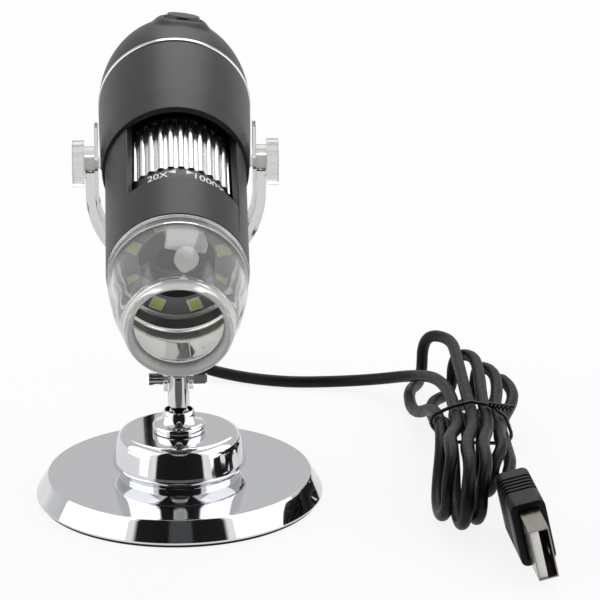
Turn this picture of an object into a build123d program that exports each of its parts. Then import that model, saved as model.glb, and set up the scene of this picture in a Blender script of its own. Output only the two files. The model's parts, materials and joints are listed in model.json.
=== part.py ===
from build123d import *
import os
from math import acos, atan2, cos, degrees, dist, inf, pi, radians, sin, sqrt, tan

# USB digital microscope on a ball-jointed stand, in millimetres.
# The origin is the middle of the foot on the table, +Z is up and -Y is where the nose points.
# Every piece of the microscope is modelled along its own axis first: Z runs from the nose to
# the cord end, its zero is at the pivot pins, and -Y is the side with the window.

# fits shared by all pieces
running_gap = 0.05
seat_gap = 0.05
face_gap = 0.1
overrun = 2.0

# pose of the photographed object
pin_height = 81.2
bolt_height = 28.85
ball_height = 14.0
rest_pitch = 14.85
roll_angle = 8.6

# foot
disc_radius = 33.76
pad_inset = 0.76
pad_thickness = 0.8
disc_lip = 0.5
disc_height = 5.02
disc_bevel = 2.81
disc_bulge = 0.12
disc_wall = 1.2
ballast_inset = 1.25
ballast_thickness = 3.6

# hub
hub_neck_radius = 14.2
hub_neck_height = 0.8
hub_foot_radius = 15.8
hub_foot_height = 2.8
hub_foot_edge = 0.7
hub_waist_radius = 14.5
hub_waist_height = 8.0
hub_rise = 10.18
hub_edge = 2.0
hub_wall = 1.2

# socket, seat, ball and collar
ball_radius = 4.5
socket_radius = 9.0
socket_floor = 4.1
socket_neck_wall = 0.7
socket_neck_rise = 1.1
seat_height = 3.9
seat_floor = 0.8
hub_screw_radius = 1.2
hub_screw_head_radius = 2.8
hub_screw_head_height = 1.8
hub_screw_tip_cover = 0.5
collar_wall = 0.85
collar_skirt = 1.9
collar_neck_radius = 3.9
collar_height = 5.15
collar_lip = 0.65
collar_mouth_radius = 3.2

# stem
stud_neck_radius = 1.5
stud_neck_top = 8.1
stud_radius = 1.2
stud_length = 4.5
stud_end_room = 0.4
stem_radius = 2.55
tang_half = 2.3
tang_side_gap = 0.15
stem_foot_chamfer = 0.3

# tilt bolt
bolt_radius = 1.0
bolt_head_radius = 1.6
bolt_head_length = 3.3
bolt_end_length = 0.35
nut_radius = 1.75
nut_length = 2.8
bolt_socket_radius = 0.8
bolt_socket_depth = 1.2

# yoke
lug_thickness = 1.0
lug_radius = 3.0
crotch_gap = 0.8
stalk_top_width = 9.0
arm_gap = 0.65
arm_thickness = 2.1
arm_width = 7.0
arch_drop = 6.4
eye_radius = 4.0
eye_rise = 0.15
strip_thickness = 0.75
strip_width = 5.0
strip_rise = 9.0

# pivot pins and their knobs
pin_radius = 1.5
pin_tip_room = 0.25
knob_radius = 5.35
knob_thickness = 2.7
knob_ribs = 14
knob_groove = 0.45

# lower barrel
barrel_front = 47.6
barrel_taper = 0.5
barrel_rear = 4.5
spigot_wall = 1.25
spigot_step = 0.65
spigot_length = 10.5
board_ledge_width = 0.9
board_ledge_height = 1.2
window_front = 32.8
window_rear_reach = 6.0
window_half_angle = 51.5

# upper shell
shell_edge = 4.0
shell_taper = 1.0
shell_step = 0.75
shell_rear_radius = 17.75
shell_length = 29.5
shell_wall = 1.5
shell_swell_shares = ((0.27, 0.5), (0.54, 0.75), (0.78, 0.95))

# trim ring
ring_length = 1.3
ring_proud = 0.25
ring_side_gap = 0.05

# dome
dome_proud = 0.05
dome_length = 28.0
dome_wall = 1.5
dome_curve_steps = 6
dome_spigot_length = 6.0
dome_spigot_wall = 1.3
dome_step = 1.2
pad_rise = 0.9
pad_width = 12.4
pad_length = 16.0
pad_corner = 5.0
pad_middle = 15.4

# snapshot button and its switch
button_middle = 13.5
button_radius = 3.9
button_proud = 0.3
button_flange_radius = 4.7
button_flange = 0.8
button_flange_gap = 0.4
button_stem_radius = 1.3
button_side_gap = 0.2
button_travel = 0.5
button_switch_gap = 0.1
switch_side = 6.0
switch_height = 3.5
plunger_radius = 1.75
plunger_height = 1.0

# nose hood
nose_length = 22.4
nose_step = 0.25
nose_wall = 1.35
nose_lip_width = 1.8
nose_lip_roll = 3.2
nose_side_shares = ((0.0, 1.0), (0.24, 0.984), (0.465, 0.938), (0.64, 0.885), (0.82, 0.813), (0.93, 0.774))
nose_rim_share = 0.735
nose_spigot_wall = 1.0

# lamp board
board_thickness = 1.6
board_gap = 0.1
board_hole = 5.0
board_front = 43.4
lamp_count = 8
lamp_inset = 3.4
lamp_side = 3.0
lamp_height = 0.8
lamp_start_angle = 25.0

# guide tube and clip
guide_wall = 1.3
guide_front = 34.0
guide_rear = 4.0
guide_flange = 2.0
guide_shoulder_inset = 0.5
clip_thickness = 0.8

# focus wheel
wheel_front = 30.2
wheel_band_length = 5.6
wheel_rear = 3.0
wheel_room = 0.5
wheel_wall = 2.1
wheel_rib_height = 0.6
wheel_ribs = 36
rib_tip_share = 0.32
rib_foot_share = 0.56
band_inset = 0.85
band_wall = 1.05
groove_pitch = 9.0
groove_depth = 1.0
groove_turn = 240.0

# lens carriage
follower_radius = 1.0
follower_place = 14.0
follower_groove_gap = 0.15
follower_angle = 180.0
carriage_length = 14.0
carriage_travel = 3.0
carriage_wall = 2.1
lens_front_thickness = 2.2
lens_front_curve = 28.6
lens_pocket = 4.0
lens_rear_step = 1.5
lens_rear_thickness = 2.5
lens_ring_width = 1.3
stop_ledge = 1.0

# image sensor and boards
sensor_board_thickness = 1.2
sensor_side = 7.0
sensor_height = 1.2
filter_side = 6.0
filter_thickness = 0.5
main_board_width = 20.0
main_board_length = 37.0
main_board_thickness = 1.2
chip_side = 7.0
chip_height = 1.0
chip_place = 14.0
crystal_width = 4.6
crystal_length = 8.2
crystal_height = 3.2
crystal_place = 11.7
crystal_side_room = 2.3

# lamp dimmer
dimmer_place = 9.1
dimmer_radius = 6.0
dimmer_width = 2.6
dimmer_proud = 1.2
dimmer_shaft_radius = 1.2
dimmer_slot_gap = 0.4
dimmer_notches = 24
dimmer_notch = 0.35
pot_width = 4.0
pot_length = 8.0
pot_edge = 1.15

# housing screws
screw_angles = (140.0, 220.0)
screw_place = 1.5
screw_radius = 0.9
screw_head_radius = 1.7
screw_head_depth = 1.0
screw_tip_room = 0.2

# strain relief
relief_radius = 2.6
relief_flange_radius = 3.2
relief_flange = 1.0
relief_collar_radius = 3.1
relief_length = 9.5
relief_end_radius = 2.1
relief_grooves = 4
relief_groove_width = 0.9
relief_groove_depth = 0.5

# cord
cord_radius = 1.5
corner_share = 0.45
same_way_share = 1e-9
tie_radius = 0.45
tie_gap = 0.2

# plug
plug_heading = 4.0
plug_lean = 13.0
plug_front = (78.1, -48.0)
mold_thickness = 8.0
mold_width = 15.0
mold_length = 20.0
mold_corner = 1.6
mold_ridges = 5
mold_ridge_pitch = 1.8
mold_ridge_start = 8.6
mold_ridge_width = 0.9
mold_ridge_depth = 0.35
boot_length = 8.0
boot_root_radius = 3.3
boot_end_radius = 2.1
tail_end_run = 5.0
usb_thickness = 4.5
usb_width = 12.0
usb_length = 12.0
usb_wall = 0.3
usb_sunk = 5.0
usb_latch = 2.4
usb_latch_place = 5.5
usb_latch_side = 2.6
tongue_thickness = 1.84
tongue_setback = 0.6
contact_count = 4
contact_width = 1.0
contact_pitch = 2.3
contact_length = 7.5
contact_thickness = 0.12
contact_setback = 1.2

# sizes and heights worked out from those above
pad_radius = disc_radius - pad_inset
ballast_radius = disc_radius - disc_bevel - disc_wall - ballast_inset
disc_top = pad_thickness + disc_height
ballast_top = pad_thickness + ballast_thickness
hub_top = disc_top + hub_rise
socket_bore = ball_radius + seat_gap * 2
socket_top = ballast_top + socket_floor
socket_neck_radius = socket_bore + socket_neck_wall
collar_foot = hub_top + face_gap
collar_bore = socket_neck_radius + seat_gap
stem_foot = ball_height + stud_neck_top + seat_gap
fork_half = tang_half + tang_side_gap
fork_outer = fork_half + lug_thickness
crotch_height = bolt_height + stem_radius + crotch_gap
shell_edge_radius = shell_rear_radius - shell_taper
barrel_rear_radius = shell_edge_radius - shell_step
barrel_front_radius = barrel_rear_radius - barrel_taper
spigot_radius = barrel_rear_radius - spigot_step
barrel_bore = spigot_radius - spigot_wall
board_radius = barrel_bore - board_gap
lamp_ring = board_radius - lamp_inset
nose_root_radius = barrel_front_radius - nose_step
nose_lip_radius = nose_root_radius * nose_rim_share - nose_lip_width
wheel_root_radius = barrel_bore - wheel_room - wheel_rib_height
band_seat_radius = wheel_root_radius - band_inset
clip_radius = wheel_root_radius
guide_shoulder_radius = wheel_root_radius - guide_shoulder_inset
guide_radius = wheel_root_radius - wheel_wall
guide_bore = guide_radius - guide_wall
lens_front_radius = guide_bore - carriage_wall
lens_front_crown = lens_front_curve - sqrt(lens_front_curve ** 2 - lens_front_radius ** 2)
lens_rear_radius = lens_front_radius - lens_rear_step
stop_radius = lens_rear_radius - stop_ledge
arm_inner = shell_rear_radius + arm_gap
arm_outer = arm_inner + arm_thickness
arch_height = pin_height - arch_drop
eye_face = arm_outer + eye_rise
knob_face = eye_face + face_gap
pin_reach = knob_face - barrel_bore - pin_tip_room
ring_radius = shell_rear_radius + ring_proud
dome_radius = shell_rear_radius + dome_proud
shell_rear = shell_length - shell_edge
dome_foot = shell_rear + ring_length + 2 * ring_side_gap
dome_spigot_radius = shell_rear_radius - shell_wall - seat_gap
spigot_end = spigot_length - barrel_rear
sensor_board_front = spigot_end
main_board_front = sensor_board_front + sensor_board_thickness
relief_end = dome_foot + dome_length + relief_length


def turned(outline):
    """Solid turned about the Z axis from closed (radius, height) corners."""
    return revolve(Plane.XZ * make_face(Polyline(*outline, close=True)), Axis.Z)


def sleeve(outer, inner, low, high):
    """Plain ring between two heights."""
    return turned([(inner, low), (outer, low), (outer, high), (inner, high)])


def rod(radius, low, high):
    """Plain round rod along Z between two heights."""
    return Pos(0, 0, low) * Cylinder(radius, high - low, align=(Align.CENTER, Align.CENTER, Align.MIN))


def cross_rod(radius, start, end):
    """Plain round rod along X between two places."""
    return Rot(0, 90, 0) * rod(radius, start, end)


def slab(x_range, y_range, z_range):
    """Block between three pairs of limits."""
    size = [high - low for low, high in (x_range, y_range, z_range)]
    middle = [(high + low) / 2 for low, high in (x_range, y_range, z_range)]
    return Pos(*middle) * Box(*size)


def sector(inner, outer, low, high, half_angle):
    """Part of a ring, centred on the side of the window."""
    face = Plane.XZ * make_face(Polyline((inner, low), (outer, low), (outer, high), (inner, high), close=True))
    return Rot(0, 0, -90 - half_angle) * revolve(face, Axis.Z, revolution_arc=2 * half_angle)


def rolled(shape):
    """Turn a piece about the microscope's axis with the window, wheel and button."""
    return Rot(0, 0, roll_angle) * shape


def scope_place():
    """Where the microscope's own axis lies on the stand."""
    return Location((0, 0, pin_height), (rest_pitch - 90, 0, 0))


# foot and hub

def make_foot_pad():
    return rod(pad_radius, 0, pad_thickness)


def make_base_disc():
    top_radius = disc_radius - disc_bevel
    lip_top = pad_thickness + disc_lip
    middle = (disc_radius - disc_bevel / 2 + disc_bulge, (lip_top + disc_top) / 2 + disc_bulge / 2)
    bore = socket_radius + face_gap
    roof = disc_top - disc_wall
    rim = disc_radius - disc_wall
    bevel = ThreePointArc((disc_radius, lip_top), middle, (top_radius, disc_top))
    rest = Polyline((top_radius, disc_top), (bore, disc_top), (bore, roof), (top_radius - disc_wall, roof),
                    (rim, lip_top), (rim, pad_thickness), (disc_radius, pad_thickness), (disc_radius, lip_top))
    return revolve(Plane.XZ * make_face(bevel + rest), Axis.Z)


def make_ballast_plate():
    head = rod(hub_screw_head_radius + face_gap, 0, pad_thickness + hub_screw_head_height + face_gap)
    hole = rod(hub_screw_radius + running_gap, 0, ballast_top + overrun)
    return rod(ballast_radius, pad_thickness, ballast_top) - head - hole


def make_hub_cup():
    waist = disc_top + hub_waist_height
    inside_foot = hub_neck_radius - hub_wall
    inside_waist = hub_waist_radius - hub_wall
    roof = hub_top - hub_wall
    mouth = socket_neck_radius + face_gap
    shape = turned([(inside_foot, disc_top), (hub_neck_radius, disc_top),
                    (hub_neck_radius, disc_top + hub_neck_height), (hub_foot_radius, disc_top + hub_foot_height),
                    (hub_waist_radius, waist), (hub_waist_radius, hub_top), (mouth, hub_top), (mouth, roof),
                    (inside_waist, roof), (inside_waist, waist)])
    rings = shape.edges().filter_by(GeomType.CIRCLE)
    rim = rings.filter_by(
        lambda edge: abs(edge.radius - hub_waist_radius) < seat_gap and edge.center().Z > waist + seat_gap)
    shape = fillet(rim, hub_edge)
    foot = shape.edges().filter_by(GeomType.CIRCLE).filter_by(
        lambda edge: abs(edge.radius - hub_foot_radius) < seat_gap)
    return fillet(foot, hub_foot_edge)


def make_hub_screw():
    head_top = pad_thickness + hub_screw_head_height
    tip = socket_top - hub_screw_tip_cover
    slot = slab((-hub_screw_head_radius, hub_screw_head_radius), (-pad_thickness / 2, pad_thickness / 2),
                (0, pad_thickness * 2))
    return rod(hub_screw_head_radius, pad_thickness, head_top) + rod(hub_screw_radius, head_top, tip) - slot


def make_socket_cup():
    neck_top = hub_top + socket_neck_rise
    shoulder = hub_top - hub_wall
    body = rod(socket_radius, ballast_top, shoulder) + rod(socket_neck_radius, shoulder, neck_top)
    bore = rod(socket_bore, socket_top, neck_top + overrun)
    thread = rod(hub_screw_radius + running_gap, ballast_top - overrun, socket_top + overrun)
    return body - bore - thread


def make_ball_seat():
    low = ball_height - ball_radius - seat_gap - seat_floor
    puck = rod(socket_bore - running_gap, low, low + seat_height)
    return puck - Pos(0, 0, ball_height) * Sphere(ball_radius + seat_gap)


def make_collar_nut():
    skirt = collar_bore + collar_wall
    top = collar_foot + collar_height
    ball_line = sqrt((ball_radius + seat_gap) ** 2 - collar_mouth_radius ** 2)
    ledge = ball_height + ball_line + seat_gap
    return turned([(collar_bore, collar_foot), (skirt, collar_foot), (skirt, collar_foot + collar_skirt),
                   (collar_neck_radius, top - collar_lip), (collar_neck_radius - collar_lip / 2, top),
                   (collar_mouth_radius, top), (collar_mouth_radius, ledge), (collar_bore, ledge)])


# stem and its ball

def make_ball_stud():
    neck_top = ball_height + stud_neck_top
    ball = Pos(0, 0, ball_height) * Sphere(ball_radius)
    neck = rod(stud_neck_radius, ball_height, neck_top)
    return ball + neck + rod(stud_radius, neck_top, neck_top + stud_length)


def make_stem():
    post = rod(stem_radius, stem_foot, bolt_height + stem_radius)
    head = Pos(0, 0, bolt_height) * cross_rod(stem_radius, -stem_radius, stem_radius)
    lower = slab((-stem_radius, stem_radius), (-stem_radius, stem_radius), (stem_foot, bolt_height))
    post = post & (head + lower)
    flat_foot = bolt_height - lug_radius - crotch_gap / 2
    for side in (-1, 1):
        limits = sorted((side * tang_half, side * (stem_radius + overrun)))
        post = post - slab(limits, (-lug_radius, lug_radius), (flat_foot, bolt_height + lug_radius))
    foot_edge = post.edges().group_by(Axis.Z)[0]
    post = chamfer(foot_edge, stem_foot_chamfer)
    bore = rod(stud_radius + running_gap, stem_foot - overrun, stem_foot + stud_length + stud_end_room)
    cross = Pos(0, 0, bolt_height) * cross_rod(bolt_radius + seat_gap, -stem_radius, stem_radius)
    return post - bore - cross


def make_tilt_bolt():
    head_face = fork_outer + face_gap
    head_end = -head_face - bolt_head_length
    head = cross_rod(bolt_head_radius, head_end, -head_face)
    socket = cross_rod(bolt_socket_radius, head_end, head_end + bolt_socket_depth)
    shank = cross_rod(bolt_radius, -head_face, head_face + nut_length + bolt_end_length)
    return Pos(0, 0, bolt_height) * (head + shank - socket)


def make_tilt_nut():
    face = fork_outer + face_gap
    hexagon = Rot(0, 90, 0) * Pos(0, 0, face) * extrude(RegularPolygon(nut_radius, 6), nut_length)
    bore = cross_rod(bolt_radius + seat_gap / 2, 0, face + nut_length + overrun)
    return Pos(0, 0, bolt_height) * (hexagon - bore)


# yoke

def cradle(outer, inner, width, rise, foot):
    """U-shaped band: half a ring about the arch centre, with two straight legs."""
    ring = Circle(outer) - Circle(inner) - Pos(0, outer) * Rectangle(2 * outer, 2 * outer)
    for side in (-1, 1):
        leg_height = arch_drop + rise
        ring = ring + Pos(side * (outer + inner) / 2, leg_height / 2) * Rectangle(outer - inner, leg_height)
    band = extrude(Plane.XZ * ring, width / 2, both=True)
    return Pos(0, 0, foot) * band


def make_yoke():
    band = cradle(arm_outer, arm_inner, arm_width, 0, arch_height)
    for side in (-1, 1):
        limits = sorted((side * arm_inner, side * eye_face))
        band = band + Pos(0, 0, pin_height) * cross_rod(eye_radius, *limits)
    root = Pos(0, 0, crotch_height) * Rectangle(2 * fork_outer, 2 * lug_radius)
    top = Pos(0, 0, arch_height - (arm_outer + arm_inner) / 2) * Rectangle(stalk_top_width, arm_width)
    band = band + loft([root, top])
    for side in (-1, 1):
        limits = sorted((side * fork_half, side * fork_outer))
        lug = Pos(0, 0, bolt_height) * cross_rod(lug_radius, *limits)
        band = band + lug + slab(limits, (-lug_radius, lug_radius), (bolt_height, crotch_height))
    reach = eye_face + overrun
    eye_bore = Pos(0, 0, pin_height) * cross_rod(pin_radius + running_gap, -reach, reach)
    bolt_bore = Pos(0, 0, bolt_height) * cross_rod(bolt_radius + running_gap, -fork_outer, fork_outer)
    return band - eye_bore - bolt_bore


def make_yoke_strip():
    outer = arm_inner - seat_gap
    band = cradle(outer, outer - strip_thickness, strip_width, strip_rise, arch_height)
    bore = Pos(0, 0, pin_height) * cross_rod(pin_radius + running_gap, -outer - overrun, outer + overrun)
    return band - bore


def make_pivot_pin(side):
    """Ribbed knob with its pin, on the left (-1) or right (1) ear, in the stand's frame."""
    knob_end = knob_face + knob_thickness
    knob = rod(knob_radius, knob_face, knob_end)
    for step in range(knob_ribs):
        groove = Pos(knob_radius, 0, 0) * rod(knob_groove, knob_face - overrun, knob_end + overrun)
        knob = knob - Rot(0, 0, step * 360 / knob_ribs) * groove
    whole = knob + rod(pin_radius, knob_face - pin_reach, knob_face + knob_thickness / 2)
    return Pos(0, 0, pin_height) * Rot(0, side * 90, 0) * whole


# microscope housing, along its own axis

def pin_holes():
    reach = shell_rear_radius + overrun
    return cross_rod(pin_radius + seat_gap / 2, -reach, reach)


def screw_shape(angle, gap):
    """One radial housing screw, or with a gap the hole that takes it."""
    outside = shell_edge_radius
    head = rod(screw_head_radius + gap, outside - screw_head_depth, outside)
    if gap:
        head = rod(screw_head_radius + gap, outside - screw_head_depth, outside + overrun)
    shank = rod(screw_radius + gap, barrel_bore + screw_tip_room - gap, outside - screw_head_depth)
    return Rot(0, 0, angle) * Pos(0, 0, screw_place) * Rot(90, 0, 0) * (head + shank)


def make_lower_barrel():
    ledge = barrel_bore - board_ledge_width
    ledge_front = board_thickness - board_front
    body = turned([(barrel_bore, -barrel_front), (barrel_front_radius, -barrel_front),
                   (barrel_rear_radius, -barrel_rear), (spigot_radius, -barrel_rear),
                   (spigot_radius, spigot_end), (barrel_bore, spigot_end),
                   (barrel_bore, ledge_front + board_ledge_height), (ledge, ledge_front + board_ledge_height),
                   (ledge, ledge_front), (barrel_bore, ledge_front)])
    window = sector(ledge, barrel_rear_radius + overrun, -window_front, window_rear_reach - barrel_rear,
                    window_half_angle)
    body = body - rolled(window) - pin_holes()
    for angle in screw_angles:
        body = body - rolled(screw_shape(angle, seat_gap))
    return body


def make_upper_shell():
    swell = shell_rear_radius - shell_edge_radius
    side = [(shell_edge_radius + swell * radius_share, -shell_edge + shell_length * place_share)
            for place_share, radius_share in shell_swell_shares]
    bore = spigot_radius + seat_gap
    wide_bore = shell_rear_radius - shell_wall
    outline = [(bore, -shell_edge), (shell_edge_radius, -shell_edge)] + side
    outline += [(shell_rear_radius, shell_rear), (wide_bore, shell_rear), (wide_bore, spigot_end + shell_wall),
                (bore, spigot_end + shell_wall)]
    body = turned(outline) - pin_holes()
    for angle in screw_angles:
        body = body - rolled(screw_shape(angle, seat_gap))
    return body


def make_trim_ring():
    low = shell_rear + ring_side_gap
    return sleeve(ring_radius, dome_spigot_radius + seat_gap, low, low + ring_length)


def dome_form(grow):
    """Half ellipsoid over the trim ring, grown or shrunk by a wall."""
    width = dome_radius + grow
    height = dome_length + grow
    turns = [pi / 2 * step / dome_curve_steps for step in range(dome_curve_steps + 1)]
    arc = Spline(*[(width * cos(turn), height * sin(turn)) for turn in turns], tangents=[(0, 1), (-1, 0)])
    face = make_face(arc + Polyline((0, height), (0, 0), (width, 0)))
    return Pos(0, 0, dome_foot) * revolve(Plane.XZ * face, Axis.Z)


def button_place():
    """Frame on the dome's side, with Z pointing out square to its surface."""
    radius = dome_radius * sqrt(1 - (button_middle / dome_length) ** 2)
    slope = (dome_radius / dome_length) ** 2 * button_middle / radius
    lean = degrees(atan2(slope, 1))
    return Location((0, -radius, dome_foot + button_middle), (90 - lean, 0, 0))


def make_dome_cap():
    pad_outline = Pos(0, dome_foot + pad_middle) * RectangleRounded(pad_width, pad_length, pad_corner)
    prism = extrude(Plane.XZ * pad_outline, dome_radius + pad_rise + overrun)
    pad = dome_form(pad_rise) & prism
    spigot_bore = dome_spigot_radius - dome_spigot_wall
    step_radius = dome_radius - dome_wall / 2
    spigot_low = dome_foot - dome_spigot_length
    step_top = dome_foot + dome_step
    spigot = turned([(spigot_bore, spigot_low), (dome_spigot_radius, spigot_low),
                     (dome_spigot_radius, dome_foot), (step_radius, dome_foot), (step_radius, step_top),
                     (spigot_bore, step_top)])
    shape = (dome_form(0) + pad) - dome_form(-dome_wall)
    shape = shape + spigot
    hole = button_place() * rod(button_radius + button_side_gap, -dome_wall - overrun, pad_rise + overrun)
    cord_hole = rod(relief_radius + seat_gap, dome_foot + dome_length - dome_wall - overrun,
                    dome_foot + dome_length + overrun)
    slot_half = dimmer_width / 2 + dimmer_slot_gap
    slot_reach = dimmer_radius + dimmer_slot_gap
    middle = dome_foot + dimmer_place
    slot = slab((-slot_half, slot_half), (dome_radius / 2, dome_radius + overrun),
                (middle - slot_reach, middle + slot_reach))
    return shape - hole - cord_hole - slot


def make_nose_hood():
    side = [(nose_root_radius * radius_share, -barrel_front - seat_gap - nose_length * place_share)
            for place_share, radius_share in nose_side_shares]
    front = -barrel_front - seat_gap - nose_length
    rim = (nose_root_radius * nose_rim_share, front)
    inner = [(radius - nose_wall, place) for radius, place in side]
    inner_lip = (nose_lip_radius, front + nose_lip_roll)
    lip = (nose_lip_radius + nose_lip_roll / 2, front)
    spigot_out = barrel_bore - seat_gap
    spigot_in = spigot_out - nose_spigot_wall
    spigot_rear = -board_front - seat_gap
    outline = [(spigot_in, spigot_rear), (spigot_out, spigot_rear), (spigot_out, -barrel_front - seat_gap)]
    outline += side + [rim, lip, inner_lip] + list(reversed(inner[:-1]))
    return turned(outline)


def make_led_board():
    plate = rod(board_radius, -board_front, -board_front + board_thickness)
    return plate - rod(board_hole, -board_front - overrun, overrun - board_front + board_thickness)


def make_leds():
    lamps = []
    for step in range(lamp_count):
        lamp = Pos(lamp_ring, 0, -board_front - lamp_height / 2) * Box(lamp_side, lamp_side, lamp_height)
        lamps.append(Rot(0, 0, lamp_start_angle + step * 360 / lamp_count) * lamp)
    return Compound(children=lamps)


def make_guide_tube():
    flange_out = barrel_bore - seat_gap
    shoulder = -wheel_front - face_gap
    body = turned([(guide_bore, -guide_front - guide_flange), (flange_out, -guide_front - guide_flange),
                   (flange_out, -guide_front), (guide_shoulder_radius, -guide_front),
                   (guide_shoulder_radius, shoulder), (guide_radius, shoulder), (guide_radius, guide_rear),
                   (guide_bore, guide_rear)])
    half = follower_radius + running_gap
    reach = carriage_travel + half + face_gap
    slot = slab((guide_bore / 2, guide_radius + overrun), (-half, half),
                (-follower_place - reach, -follower_place + reach))
    return body - Rot(0, 0, follower_angle) * slot


def make_wheel_clip():
    low = -wheel_rear + face_gap
    return sleeve(clip_radius, guide_radius, low, low + clip_thickness)


def ribbed_outline():
    """Outline of the wheel's ribs: flat tips on sloping sides, all round."""
    points = []
    pitch = 2 * pi / wheel_ribs
    tip = wheel_root_radius + wheel_rib_height
    for step in range(wheel_ribs):
        corners = ((-rib_foot_share, wheel_root_radius), (-rib_tip_share, tip), (rib_tip_share, tip),
                   (rib_foot_share, wheel_root_radius))
        for share, radius in corners:
            angle = pitch * (step + share / 2)
            points.append((radius * cos(angle), radius * sin(angle)))
    return points


def groove_cutter():
    """Right-handed helical groove inside the wheel, with round ends for the follower."""
    half = follower_radius + follower_groove_gap
    inner = guide_radius - half
    height = groove_pitch * groove_turn / 360
    start = follower_angle - groove_turn / 2
    path = Helix(pitch=groove_pitch, height=height, radius=inner)
    reach = guide_radius + running_gap + groove_depth - inner
    start_plane = Plane(origin=path @ 0, x_dir=(1, 0, 0), z_dir=path % 0)
    section = start_plane * Pos(reach / 2, 0) * Rectangle(reach, 2 * half)
    ribbon = sweep(section, path=path, is_frenet=True)
    ends = []
    for share in (0, 1):
        turn_to_end = Pos(0, 0, height * share) * Rot(0, 0, groove_turn * share)
        hole = turn_to_end * cross_rod(half, 0, inner + reach)
        ends.append(hole)
    cutter = ribbon + ends[0] + ends[1]
    return Pos(0, 0, -follower_place - height / 2) * Rot(0, 0, start) * cutter


def make_focus_wheel():
    rib_front = wheel_band_length - wheel_front
    rib_face = make_face(Polyline(*ribbed_outline(), close=True))
    ribs = Pos(0, 0, rib_front) * extrude(rib_face, -wheel_rear - rib_front)
    wheel = ribs + rod(band_seat_radius, -wheel_front, rib_front)
    return wheel - rod(guide_radius + running_gap, -wheel_front - overrun, overrun) - groove_cutter()


def make_scale_band():
    return sleeve(band_seat_radius + seat_gap + band_wall, band_seat_radius + seat_gap,
                  -wheel_front, wheel_band_length - wheel_front - seat_gap)


def make_lens_barrel():
    low = -follower_place - carriage_length / 2
    high = low + carriage_length
    outside = guide_bore - running_gap
    body = rod(outside, low, high) - rod(stop_radius, low - overrun, high + overrun)
    body = body - rod(lens_front_radius + seat_gap, low - overrun, low + lens_pocket)
    body = body - rod(lens_rear_radius + seat_gap, high - lens_pocket, high + overrun)
    pin_end = guide_radius + running_gap + groove_depth - face_gap
    pin = Pos(0, 0, -follower_place) * cross_rod(follower_radius, (stop_radius + outside) / 2, pin_end)
    return body + Rot(0, 0, follower_angle) * pin


def make_lens_front():
    seat = -follower_place - carriage_length / 2 + lens_pocket
    tip = seat - lens_front_thickness - lens_front_crown
    ball = Pos(0, 0, tip + lens_front_curve) * Sphere(lens_front_curve)
    return rod(lens_front_radius, tip, seat) & ball


def make_lens_ring():
    low = -follower_place - carriage_length / 2
    inner_share = (lens_front_radius - lens_ring_width) / lens_front_radius
    high = low + lens_pocket - lens_front_thickness - lens_front_crown * (1 - inner_share ** 2)
    return sleeve(lens_front_radius, lens_front_radius - lens_ring_width, low, high)


def make_lens_rear():
    low = -follower_place + carriage_length / 2 - lens_pocket
    return rod(lens_rear_radius, low, low + lens_rear_thickness)


def make_sensor_board():
    return rod(spigot_radius, sensor_board_front, main_board_front)


def make_image_sensor():
    half = sensor_side / 2
    return slab((-half, half), (-half, half), (sensor_board_front - sensor_height, sensor_board_front))


def make_ir_filter():
    half = filter_side / 2
    rear = sensor_board_front - sensor_height
    return slab((-half, half), (-half, half), (rear - filter_thickness, rear))


def make_main_board():
    half_width = main_board_width / 2
    half = main_board_thickness / 2
    rear = main_board_front + main_board_length
    return slab((-half_width, half_width), (-half, half), (main_board_front, rear))


def make_board_chips():
    face = -main_board_thickness / 2
    chip_low = main_board_front + chip_place - chip_side / 2
    chip = slab((-chip_side / 2, chip_side / 2), (face - chip_height, face), (chip_low, chip_low + chip_side))
    can_low = main_board_front + crystal_place
    can_side = -main_board_width / 2 + crystal_side_room
    under = main_board_thickness / 2
    can = slab((can_side, can_side + crystal_length), (under, under + crystal_height),
               (can_low, can_low + crystal_width))
    return Compound(children=[chip, can])


def switch_point():
    """Where the button's axis meets the top of the switch's plunger."""
    top = -main_board_thickness / 2 - switch_height - plunger_height
    place = button_place()
    outward = (place * Location((0, 0, 1))).position - place.position
    reach = (top - place.position.Y) / -outward.Y
    return top, place.position.Z - outward.Z * reach, reach


def make_button_switch():
    top, middle, reach = switch_point()
    half = switch_side / 2
    face = -main_board_thickness / 2
    body = slab((-half, half), (face - switch_height, face), (middle - half, middle + half))
    plunger = Pos(0, face - switch_height, middle) * Rot(90, 0, 0) * rod(plunger_radius, 0, plunger_height)
    return body + plunger


def make_snap_button():
    top, middle, reach = switch_point()
    lean = radians(90) - acos((button_place() * Location((0, 0, 1))).position.Z - button_place().position.Z)
    tip_drop = button_stem_radius * tan(lean)
    foot = reach - button_travel - button_switch_gap - tip_drop
    flange_top = -dome_wall - button_flange_gap - button_flange_radius ** 2 / (2 * dome_radius)
    cap = rod(button_radius, flange_top, pad_rise + button_proud)
    flange = rod(button_flange_radius, flange_top - button_flange, flange_top)
    shape = cap + flange + rod(button_stem_radius, -foot, flange_top)
    crown = shape.edges().group_by(Axis.Z)[-1]
    return button_place() * fillet(crown, button_proud / 2)


def dimmer_axis_height():
    radius = dome_radius * sqrt(1 - (dimmer_place / dome_length) ** 2)
    return radius + dimmer_proud - dimmer_radius


def make_dimmer_wheel():
    half = dimmer_width / 2
    disc = cross_rod(dimmer_radius, -half, half) - cross_rod(dimmer_shaft_radius + running_gap, -half, half)
    for step in range(dimmer_notches):
        notch = Pos(0, dimmer_radius, 0) * cross_rod(dimmer_notch, -half - overrun, half + overrun)
        disc = disc - Rot(step * 360 / dimmer_notches, 0, 0) * notch
    return Pos(0, dimmer_axis_height(), dome_foot + dimmer_place) * disc


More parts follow.
